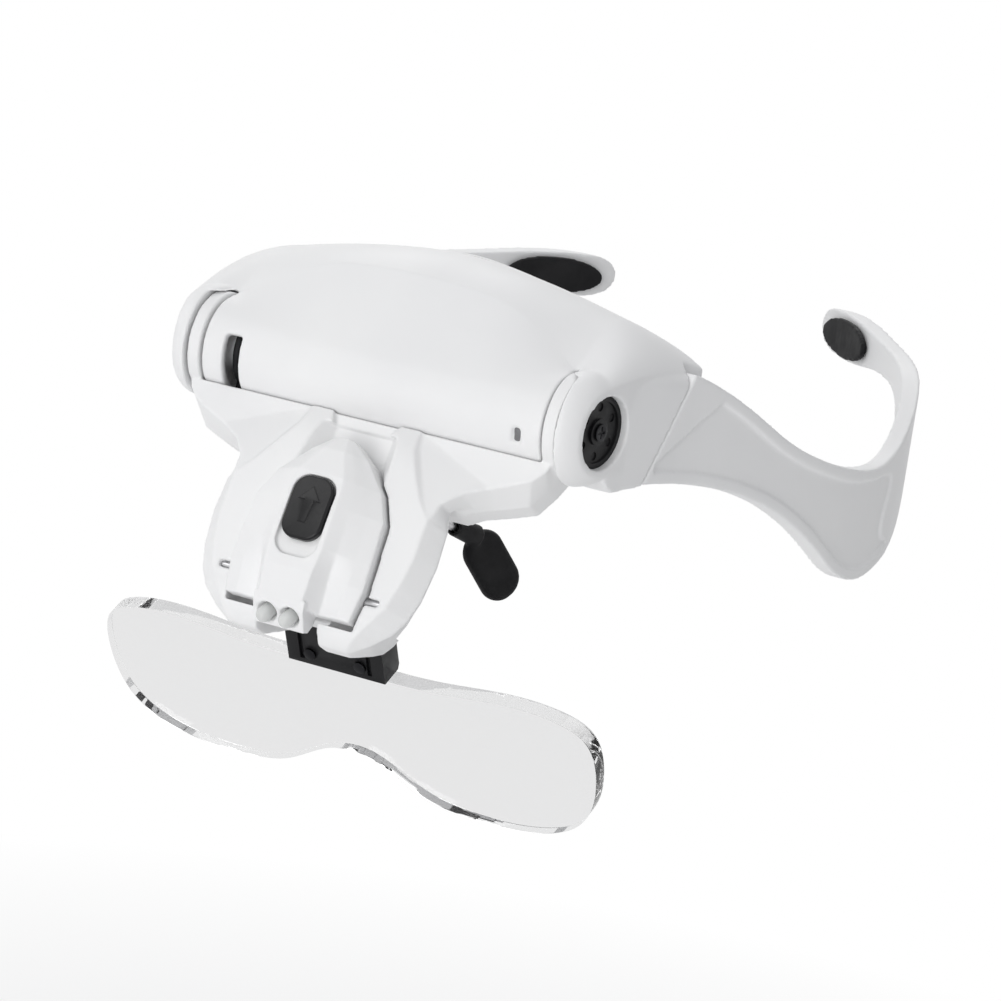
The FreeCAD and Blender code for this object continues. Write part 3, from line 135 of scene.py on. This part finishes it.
def soft_lamp(name, place, power):
    """A square lamp that faces the middle of the object."""
    data = bpy.data.lights.new(name, "AREA")
    data.shape = "SQUARE"
    data.size = lamp_size
    data.energy = power
    lamp = bpy.data.objects.new(name, data)
    scene.collection.objects.link(lamp)
    place = Vector(place)
    lamp.matrix_world = Matrix.Translation(place) @ \
        (aim - place).to_track_quat("-Z", "Y").to_matrix().to_4x4()
    return lamp


soft_lamp("front_lamp", (0.05, -1.2, 0.1), 5.2)
soft_lamp("high_lamp", (-0.55, -0.75, 0.85), 2.1)
soft_lamp("left_lamp", (-1.2, 0.0, 0.35), 1.1)
soft_lamp("top_lamp", (0.1, 0.35, 1.0), 1.8)
soft_lamp("rear_lamp", (-0.5, 0.8, 0.8), 2.1)

# %% [markdown]
# A clear slab pipes light: a ray that enters by the rim may bounce between the faces dozens of
# times before it gets out. With the usual limit those rays end black, so the limit is raised.

# %% Let light through the lens
most_bounces = 128
scene.cycles.max_bounces = most_bounces
scene.cycles.transmission_bounces = most_bounces
scene.cycles.glossy_bounces = most_bounces
print("bounces:", scene.cycles.max_bounces)

# %% [markdown]
# ## Small helpers for modelling
#
# Blender's operators act on whatever is selected, and the CAD nodes are all selected after
# loading. So each step first selects just its own piece. Modifiers are applied at once, which
# keeps the finished meshes plain.


# %% Define the helpers
def select_only(piece):
    """Makes piece the one selected and active object."""
    if bpy.context.mode != "OBJECT":
        bpy.ops.object.mode_set(mode="OBJECT")
    bpy.ops.object.select_all(action="DESELECT")
    piece.select_set(True)
    bpy.context.view_layer.objects.active = piece


def apply_modifier(piece, kind, **settings):
    """Adds a modifier with these settings and applies it."""
    select_only(piece)
    modifier = piece.modifiers.new(kind.lower(), kind)
    for key, value in settings.items():
        setattr(modifier, key, value)
    bpy.ops.object.modifier_apply(modifier=modifier.name)


def copy_of(node, name):
    """A copy of a CAD node under its own name, its loose triangles joined into one skin."""
    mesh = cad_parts[node].data.copy()
    mesh.name = name
    mesh.materials.clear()
    piece = bpy.data.objects.new(name, mesh)
    scene.collection.objects.link(piece)
    select_only(piece)
    bpy.ops.object.mode_set(mode="EDIT")
    bpy.ops.mesh.select_all(action="SELECT")
    bpy.ops.mesh.remove_doubles(threshold=0.000002)
    bpy.ops.object.mode_set(mode="OBJECT")
    return piece


def triangles(piece):
    """How many triangles the piece has."""
    return sum(len(p.vertices) - 2 for p in piece.data.polygons)


def put_on(piece, body, material, node=None):
    """Gives the piece its material and its body, and hides the CAD node that it stands for."""
    piece.data.materials.clear()
    piece.data.materials.append(material)
    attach(piece, body)
    if node:
        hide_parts(node)
    print(piece.name, "rides on", body, "with", triangles(piece), "triangles")
    return piece


print("helpers ready")

# %% [markdown]
# ## Effects that the finishes share
#
# Moulded plastic is never one flat colour: the tone drifts slightly over a large piece, the tool's
# fine spark texture breaks up the shine, and fingers polish it here and there. Each effect is a
# node group with its own inputs, so that every material can use it at its own scale. The groups
# read Object coordinates, which are the real metres of the piece.


# %% Build the node groups
def new_group(name, inputs, outputs):
    """An empty node group with float, vector or colour sockets."""
    group = bpy.data.node_groups.new(name, "ShaderNodeTree")
    for side, sockets in (("INPUT", inputs), ("OUTPUT", outputs)):
        for label, kind in sockets:
            group.interface.new_socket(label, in_out=side, socket_type="NodeSocket" + kind)
    return group, group.nodes.new("NodeGroupInput"), group.nodes.new("NodeGroupOutput")


def make_tone_drift():
    """Blends between two near tones in soft clouds."""
    group, gin, gout = new_group(
        "tone_drift",
        [("Vector", "Vector"), ("Scale", "Float"), ("Tone A", "Color"), ("Tone B", "Color")],
        [("Color", "Color")])
    noise = group.nodes.new("ShaderNodeTexNoise")
    noise.inputs["Detail"].default_value = 3.0
    ramp = group.nodes.new("ShaderNodeMapRange")
    ramp.inputs["From Min"].default_value = 0.35
    ramp.inputs["From Max"].default_value = 0.65
    mix = group.nodes.new("ShaderNodeMix")
    mix.data_type = "RGBA"
    link = group.links.new
    link(gin.outputs["Vector"], noise.inputs["Vector"])
    link(gin.outputs["Scale"], noise.inputs["Scale"])
    link(noise.outputs["Fac"], ramp.inputs["Value"])
    link(ramp.outputs["Result"], mix.inputs["Factor"])
    link(gin.outputs["Tone A"], mix.inputs["A"])
    link(gin.outputs["Tone B"], mix.inputs["B"])
    link(mix.outputs["Result"], gout.inputs["Color"])
    return group


def make_handled_sheen():
    """A roughness that changes in patches, as where fingers have polished a surface."""
    group, gin, gout = new_group(
        "handled_sheen",
        [("Vector", "Vector"), ("Scale", "Float"), ("Smooth", "Float"), ("Rough", "Float")],
        [("Roughness", "Float")])
    noise = group.nodes.new("ShaderNodeTexNoise")
    noise.inputs["Detail"].default_value = 4.0
    noise.inputs["Roughness"].default_value = 0.6
    ramp = group.nodes.new("ShaderNodeMapRange")
    ramp.inputs["From Min"].default_value = 0.3
    ramp.inputs["From Max"].default_value = 0.7
    link = group.links.new
    link(gin.outputs["Vector"], noise.inputs["Vector"])
    link(gin.outputs["Scale"], noise.inputs["Scale"])
    link(noise.outputs["Fac"], ramp.inputs["Value"])
    link(gin.outputs["Smooth"], ramp.inputs["To Min"])
    link(gin.outputs["Rough"], ramp.inputs["To Max"])
    link(ramp.outputs["Result"], gout.inputs["Roughness"])
    return group


def make_spark_grain():
    """Height of the fine, even texture that a spark-eroded mould leaves."""
    group, gin, gout = new_group("spark_grain", [("Vector", "Vector"), ("Scale", "Float")],
                                 [("Height", "Float")])
    fine = group.nodes.new("ShaderNodeTexNoise")
    fine.inputs["Detail"].default_value = 2.0
    cells = group.nodes.new("ShaderNodeTexVoronoi")
    cells.feature = "SMOOTH_F1"
    add = group.nodes.new("ShaderNodeMath")
    add.operation = "ADD"
    link = group.links.new
    for texture in (fine, cells):
        link(gin.outputs["Vector"], texture.inputs["Vector"])
        link(gin.outputs["Scale"], texture.inputs["Scale"])
    link(fine.outputs["Fac"], add.inputs[0])
    link(cells.outputs["Distance"], add.inputs[1])
    link(add.outputs[0], gout.inputs["Height"])
    return group


tone_drift = make_tone_drift()
handled_sheen = make_handled_sheen()
spark_grain = make_spark_grain()
print("groups:", [g.name for g in bpy.data.node_groups])

# %% [markdown]
# ## The finishes
#
# One recipe covers all the opaque plastics, rubbers and metals here: two near tones, a range of
# roughness and a grain of a given size and depth. The numbers are what makes ABS look different
# from silicone rubber, so each finish states its own.


# %% Define the recipe
def finish(name, tone_a, tone_b, drift, smooth, rough, grain, depth, metallic=0.0, sheen=0.0,
           specular=0.5):
    """A material from the shared groups. drift and grain are sizes in metres, depth a height."""
    material = bpy.data.materials.new(name)
    material.use_nodes = True
    tree = material.node_tree
    shader = tree.nodes["Principled BSDF"]
    shader.inputs["Metallic"].default_value = metallic
    shader.inputs["Sheen Weight"].default_value = sheen
    shader.inputs["Specular IOR Level"].default_value = specular
    place = tree.nodes.new("ShaderNodeTexCoord")

    def group(source, scale, **values):
        node = tree.nodes.new("ShaderNodeGroup")
        node.node_tree = source
        node.inputs["Scale"].default_value = scale
        for label, value in values.items():
            node.inputs[label.replace("_", " ")].default_value = value
        tree.links.new(place.outputs["Object"], node.inputs["Vector"])
        return node.outputs[0]

    tree.links.new(group(tone_drift, 1 / drift, Tone_A=(*tone_a, 1), Tone_B=(*tone_b, 1)),
                   shader.inputs["Base Color"])
    tree.links.new(group(handled_sheen, 1.7 / drift, Smooth=smooth, Rough=rough),
                   shader.inputs["Roughness"])
    bump = tree.nodes.new("ShaderNodeBump")
    bump.inputs["Strength"].default_value = 0.6
    bump.inputs["Distance"].default_value = depth
    tree.links.new(group(spark_grain, 1 / grain), bump.inputs["Height"])
    tree.links.new(bump.outputs["Normal"], shader.inputs["Normal"])
    return material


# %% Mix the opaque finishes
white_plastic = finish("white_plastic", (0.86, 0.86, 0.86), (0.83, 0.83, 0.835), 45 * mm,
                       0.42, 0.52, 0.35 * mm, 0.010 * mm)
black_plastic = finish("black_plastic", (0.007, 0.007, 0.008), (0.013, 0.013, 0.014), 9 * mm,
                       0.34, 0.48, 0.30 * mm, 0.012 * mm, specular=0.16)
switch_plastic = finish("switch_plastic", (0.005, 0.005, 0.006), (0.010, 0.010, 0.011), 6 * mm,
                        0.16, 0.28, 0.40 * mm, 0.005 * mm, specular=0.25)
soft_rubber = finish("soft_rubber", (0.008, 0.008, 0.009), (0.015, 0.015, 0.016), 7 * mm,
                     0.50, 0.66, 0.5 * mm, 0.02 * mm, specular=0.15)
pad_foam = finish("pad_foam", (0.016, 0.016, 0.018), (0.028, 0.028, 0.030), 12 * mm,
                  0.82, 0.95, 0.6 * mm, 0.06 * mm, sheen=0.25, specular=0.2)
plain_steel = finish("plain_steel", (0.56, 0.56, 0.57), (0.48, 0.48, 0.49), 5 * mm,
                     0.22, 0.38, 0.25 * mm, 0.004 * mm, metallic=1.0)
dark_steel = finish("dark_steel", (0.030, 0.030, 0.033), (0.018, 0.018, 0.020), 4 * mm,
                    0.30, 0.44, 0.25 * mm, 0.004 * mm, metallic=1.0)
nylon = finish("nylon", (0.62, 0.61, 0.57), (0.57, 0.56, 0.52), 6 * mm,
               0.40, 0.55, 0.4 * mm, 0.01 * mm)
cell_film = finish("cell_film", (0.05, 0.05, 0.055), (0.07, 0.07, 0.08), 20 * mm,
                   0.22, 0.34, 1.5 * mm, 0.006 * mm)
solder_mask = finish("solder_mask", (0.012, 0.10, 0.04), (0.02, 0.14, 0.06), 5 * mm,
                     0.25, 0.4, 0.5 * mm, 0.01 * mm)
# Painted shade: a flat grey for a thin sheet on the floor of the hood's small recess.
recess_shade = finish("recess_shade", (0.20, 0.20, 0.205), (0.14, 0.14, 0.145), 2 * mm,
                    0.40, 0.55, 0.3 * mm, 0.01 * mm)
print("finishes:", len(bpy.data.materials))

# %% [markdown]
# ## Clear acrylic and epoxy
#
# The lens is clear and slightly grey, and what shows it are the bright and dark lines where its
# edges bend the light. The LEDs are of a milky epoxy that lets only part of the light through. The
# grain is left out, but a very faint waviness stays, because moulded acrylic is never optically
# flat.


# %% Mix the clear finishes
def clear(name, colour, ior, smooth, rough, wave, depth, through=1.0):
    """A transmissive plastic with a faint, long wave in its surface."""
    material = bpy.data.materials.new(name)
    material.use_nodes = True
    tree = material.node_tree
    shader = tree.nodes["Principled BSDF"]
    shader.inputs["Base Color"].default_value = (*colour, 1)
    shader.inputs["Transmission Weight"].default_value = through
    shader.inputs["IOR"].default_value = ior
    place = tree.nodes.new("ShaderNodeTexCoord")
    sheen = tree.nodes.new("ShaderNodeGroup")
    sheen.node_tree = handled_sheen
    sheen.inputs["Scale"].default_value = 1 / (20 * mm)
    sheen.inputs["Smooth"].default_value = smooth
    sheen.inputs["Rough"].default_value = rough
    tree.links.new(place.outputs["Object"], sheen.inputs["Vector"])
    tree.links.new(sheen.outputs["Roughness"], shader.inputs["Roughness"])
    noise = tree.nodes.new("ShaderNodeTexNoise")
    noise.inputs["Scale"].default_value = 1 / wave
    tree.links.new(place.outputs["Object"], noise.inputs["Vector"])
    bump = tree.nodes.new("ShaderNodeBump")
    bump.inputs["Strength"].default_value = 0.5
    bump.inputs["Distance"].default_value = depth
    tree.links.new(noise.outputs["Fac"], bump.inputs["Height"])
    tree.links.new(bump.outputs["Normal"], shader.inputs["Normal"])
    return material


clear_acrylic = clear("clear_acrylic", (0.795, 0.795, 0.798), 1.3, 0.0, 0.02, 30 * mm, 0.01 * mm)
clear_epoxy = clear("clear_epoxy", (0.95, 0.96, 0.95), 1.45, 0.06, 0.12, 4 * mm, 0.01 * mm,
                    through=0.4)
print("clear finishes ready")

# %% [markdown]
# ## Softly moulded white pieces
#
# The hood, the arms, the visor's bracket and the lamp's housing are injection moulded, so every
# edge has a small radius and every crease is soft. Bevelling the thousands of thin triangles of a
# CAD mesh one by one fails at the corners. Instead a copy is rebuilt from small, even voxels,
# smoothed a few times, which rounds all edges by about the voxel's size, and then thinned. Where
# a wall is thinner than a voxel the copy would tear, so the hood's rear lip is backed up first.


# %% Define the moulded copy
def moulded(node, name, voxel, rounds, keep, added=None):
    """A copy of a CAD node, joined with any added piece, with all its edges softly rounded."""
    piece = copy_of(node, name)
    if added:
        select_only(piece)
        added.select_set(True)
        bpy.ops.object.join()
    apply_modifier(piece, "REMESH", mode="VOXEL", voxel_size=voxel, use_smooth_shade=True)
    apply_modifier(piece, "SMOOTH", factor=0.5, iterations=rounds)
    apply_modifier(piece, "DECIMATE", ratio=keep)
    select_only(piece)
    bpy.ops.object.shade_smooth()
    return piece


# %% Back up the roof's thin rear lip
lip_half, lip_front, lip_rear = 19.0 * mm, -15.5 * mm, -8.25 * mm
lip_columns, lip_rows = 39, 16
lip_thickness, lip_sunk = 1.0 * mm, 0.05 * mm
above_roof, below_roof = 60 * mm, 15 * mm
down = Vector((0, 0, -1))

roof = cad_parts["hood_shell"].data
roof_tree = BVHTree.FromPolygons([v.co for v in roof.vertices],
                                 [p.vertices for p in roof.polygons])
bpy.ops.object.select_all(action="DESELECT")
bpy.ops.mesh.primitive_grid_add(x_subdivisions=lip_columns - 1, y_subdivisions=lip_rows - 1,
                                size=1.0)
lip = bpy.context.active_object
for vertex in lip.data.vertices:
    vertex.co.x *= 2 * lip_half
    vertex.co.y = lip_front + (vertex.co.y + 0.5) * (lip_rear - lip_front)
columns = {}
for vertex in sorted(lip.data.vertices, key=lambda v: (round(v.co.x, 6), v.co.y)):
    column = columns.setdefault(round(vertex.co.x, 6), [])
    hit = roof_tree.ray_cast(Vector((vertex.co.x, vertex.co.y, above_roof)), down)[0]
    if hit and hit.z > below_roof:
        column.append(hit.z)
    else:  # past the edge of the roof its slope goes on
        column.append(2 * column[-1] - column[-2])
    vertex.co.z = column[-1] - lip_sunk
apply_modifier(lip, "SOLIDIFY", thickness=lip_thickness, offset=-1.0)
print("lip:", len(lip.data.vertices), "points,", len(columns), "columns")

# %% Mould the hood and its door
put_on(moulded("hood_shell", "hood", 0.38 * mm, 3, 0.5, lip), "hood", white_plastic,
       "hood_shell")
put_on(moulded("battery_door", "battery_lid", 0.35 * mm, 3, 0.4), "door", white_plastic,
       "battery_door")

# %% [markdown]
# The small recess at the end of the rolled front gets a thin grey sheet on its floor, which leans
# with it. The sheet is painted shade: it darkens the recess where shade falls.

# %% Paint shade into the small recess
tilt_axis = Vector((0.0, -33.8, -1.0)) * mm
sheet_place = tilt_axis + Vector((32.4, -8.75, -2.07)) * mm
sheet_size = Vector((1.75, 0.16, 2.9)) * mm
sheet_lean = math.radians(13.3)
bpy.ops.object.select_all(action="DESELECT")
bpy.ops.mesh.primitive_cube_add(size=1.0, location=sheet_place, rotation=(sheet_lean, 0.0, 0.0),
                                scale=sheet_size)
shade_sheet = bpy.context.active_object
shade_sheet.name = "painted_recess_shade"
bpy.ops.object.transform_apply(location=True, rotation=True, scale=True)
put_on(shade_sheet, "hood", recess_shade)

# %% Mould the arms
for side in ("left", "right"):
    arm = moulded(side + "_arm", side + "_temple", 0.36 * mm, 6, 0.6)
    put_on(arm, "hood", white_plastic, side + "_arm")

# %% Mould the visor's bracket and the lamp
put_on(moulded("visor_bracket", "visor_frame", 0.30 * mm, 5, 0.5), "visor",
       white_plastic, "visor_bracket")
put_on(moulded("bracket_back_cover", "frame_cover", 0.3 * mm, 3, 0.4), "visor",
       white_plastic, "bracket_back_cover")
put_on(moulded("lamp_housing", "lamp_shell", 0.22 * mm, 6, 0.5), "lamp",
       white_plastic, "lamp_housing")
put_on(moulded("lamp_back_cover", "lamp_lid", 0.25 * mm, 2, 0.4), "lamp",
       white_plastic, "lamp_back_cover")

# %% [markdown]
# ## Crisp small pieces
#
# Discs, the lens clip, screws, the switch and the hood's back cover are crisp, and the cover has
# to fill its opening to the edge. Their CAD meshes are simple
# enough for a bevel on the sharp edges alone, after which the flat parts stay flat and only the
# edges catch the light.


# %% Define the crisp copy
def crisp(node, name, width, segments=3):
    """A copy of a CAD node with a narrow bevel along its sharp edges."""
    piece = copy_of(node, name)
    apply_modifier(piece, "BEVEL", width=width, segments=segments, limit_method="ANGLE",
                   angle_limit=math.radians(40), use_clamp_overlap=True)
    select_only(piece)
    bpy.ops.object.shade_smooth_by_angle(angle=math.radians(35))
    return piece


# %% Trim the small pieces
put_on(crisp("hood_back_cover", "back_cover", 0.15 * mm, 2), "hood", white_plastic,
       "hood_back_cover")
for side in ("left", "right"):
    put_on(crisp(side + "_pivot_disc", side + "_cheek_disc", 0.18 * mm), "hood", black_plastic,
           side + "_pivot_disc")
put_on(crisp("disc_screws", "cheek_screws", 0.08 * mm, 2), "hood", dark_steel, "disc_screws")
put_on(crisp("pivot_washers", "washers", 0.1 * mm, 2), "hood", nylon, "pivot_washers")
put_on(crisp("pivot_pins", "tilt_pins", 0.15 * mm, 2), "hood", plain_steel, "pivot_pins")
put_on(crisp("lens_clip", "clip", 0.22 * mm), "visor", black_plastic, "lens_clip")
put_on(crisp("clip_screws", "clip_fasteners", 0.1 * mm, 2), "visor", dark_steel, "clip_screws")
put_on(crisp("bracket_screws", "cover_fasteners", 0.1 * mm, 2), "visor", plain_steel,
       "bracket_screws")
put_on(crisp("lamp_switch", "switch_cap", 0.12 * mm), "switch", switch_plastic, "lamp_switch")
put_on(crisp("lamp_lead", "lead", 0.05 * mm, 1), "visor", soft_rubber, "lamp_lead")
put_on(crisp("nose_bridge", "nose_wires", 0.1 * mm, 2), "visor", plain_steel, "nose_bridge")

# %% [markdown]
# ## The lens
#
# The lens is a slim slab of acrylic with a polished rim. The rim's two small round edges are what
# draws it: one bends the light bright, the other dark. So they get a wider bevel than the rest.

# %% Polish the lens
lens = copy_of("lens", "magnifier_lens")
apply_modifier(lens, "BEVEL", width=0.55 * mm, segments=4, limit_method="ANGLE",
               angle_limit=math.radians(50), use_clamp_overlap=True)
select_only(lens)
bpy.ops.object.shade_smooth_by_angle(angle=math.radians(40))
put_on(lens, "visor", clear_acrylic, "lens")

# %% Set the LEDs
put_on(crisp("lamp_leds", "led_domes", 0.03 * mm, 1), "lamp", clear_epoxy, "lamp_leds")

# %% [markdown]
# ## The soft pads
#
# The forehead pad is foam under a thin knit, and the arm pads are thin soft ovals inside the
# hooks. Foam has no hard edge: it swells between its glued face and its free one. A cloth
# simulation with a little pressure inside does just that, if its points are kept from moving
# further than foam would.


# %% Define the stuffed copy
def stuffed(node, name, voxel, pressure, cap):
    """A copy of a soft CAD solid, swollen a little by cloth under pressure."""
    piece = copy_of(node, name)
    apply_modifier(piece, "REMESH", mode="VOXEL", voxel_size=voxel, use_smooth_shade=True)
    rest = [v.co.copy() for v in piece.data.vertices]
    select_only(piece)
    cloth = piece.modifiers.new("cloth", "CLOTH")
    cloth.settings.quality = 5
    cloth.settings.mass = 0.2
    cloth.settings.use_pressure = True
    cloth.settings.uniform_pressure_force = pressure
    cloth.settings.effector_weights.gravity = 0.0
    cloth.point_cache.frame_end = 20
    for step in range(1, 21):
        scene.frame_set(step)
    bpy.ops.object.modifier_apply(modifier="cloth")
    scene.frame_set(1)
    for vertex, start in zip(piece.data.vertices, rest):
        move = vertex.co - start
        if move.length > cap:
            vertex.co = start + move * (cap / move.length)
    apply_modifier(piece, "SMOOTH", factor=0.5, iterations=2)
    apply_modifier(piece, "SUBSURF", levels=1, render_levels=1)
    select_only(piece)
    bpy.ops.object.shade_smooth()
    return piece


# %% Stuff the pads
brow_pad = stuffed("forehead_pad", "brow_pad", 1.2 * mm, 3.0, 0.8 * mm)
put_on(brow_pad, "hood", pad_foam, "forehead_pad")
for side in ("left", "right"):
    pad = stuffed(side + "_arm_pad", side + "_hook_pad", 0.5 * mm, 2.0, 0.25 * mm)
    put_on(pad, "hood", soft_rubber, side + "_arm_pad")
    nose = moulded(side + "_nose_pad", side + "_nose_rest", 0.35 * mm, 4, 0.8)
    put_on(nose, "visor", soft_rubber, side + "_nose_pad")

# %% [markdown]
# ## Inside parts
#
# The cells, contacts, tray, board and switch body sit inside, and show only with the lid open or
# through a slot. Their CAD shapes are good enough and get a finish of their own.

# %% Finish the inside parts
inside = {"battery_cells": cell_film, "battery_contacts": plain_steel,
          "battery_tray": black_plastic, "led_board": solder_mask,
          "switch_body": black_plastic, "lamp_pivot_pins": plain_steel}
for node, material in inside.items():
    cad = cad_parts[node]
    cad.data.materials.clear()
    cad.data.materials.append(material)
print("inside parts:", sorted(inside))

# %% [markdown]
# ## The floor
#
# The floor is larger than anything the camera or a mirror-like edge can see of it. Near the object
# it is a real pale surface that takes a shadow; further out it turns into plain white.

# %% Lay the floor
floor_size, floor_drop = 8.0, 0.15
paint_reach, white_from = 0.12, 0.45

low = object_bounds()[0]
bpy.ops.object.select_all(action="DESELECT")
bpy.ops.mesh.primitive_plane_add(size=floor_size, location=(0.0, 0.0, low.z - floor_drop))
floor = bpy.context.active_object
floor.name = "floor"
floor_paint = bpy.data.materials.new("floor_paint")
floor_paint.use_nodes = True
tree = floor_paint.node_tree
surface = tree.nodes["Principled BSDF"]
surface.inputs["Base Color"].default_value = (0.9, 0.9, 0.9, 1)
surface.inputs["Roughness"].default_value = 0.9
white = tree.nodes.new("ShaderNodeEmission")
rays = tree.nodes.new("ShaderNodeLightPath")
place = tree.nodes.new("ShaderNodeNewGeometry")
length = tree.nodes.new("ShaderNodeVectorMath")
length.operation = "LENGTH"
away = tree.nodes.new("ShaderNodeMapRange")
away.inputs["From Min"].default_value = paint_reach
away.inputs["From Max"].default_value = white_from
seen = tree.nodes.new("ShaderNodeMath")
seen.operation = "MAXIMUM"
seen_too = tree.nodes.new("ShaderNodeMath")
seen_too.operation = "MAXIMUM"
both = tree.nodes.new("ShaderNodeMath")
both.operation = "MULTIPLY"
mix = tree.nodes.new("ShaderNodeMixShader")
link = tree.links.new
link(place.outputs["Position"], length.inputs[0])
link(length.outputs["Value"], away.inputs["Value"])
link(rays.outputs["Is Camera Ray"], seen.inputs[0])
link(rays.outputs["Is Glossy Ray"], seen.inputs[1])
link(seen.outputs[0], seen_too.inputs[0])
link(rays.outputs["Is Transmission Ray"], seen_too.inputs[1])
link(seen_too.outputs[0], both.inputs[0])
link(away.outputs["Result"], both.inputs[1])
link(both.outputs[0], mix.inputs["Fac"])
link(surface.outputs[0], mix.inputs[1])
link(white.outputs[0], mix.inputs[2])
link(mix.outputs[0], tree.nodes["Material Output"].inputs["Surface"])
floor.data.materials.append(floor_paint)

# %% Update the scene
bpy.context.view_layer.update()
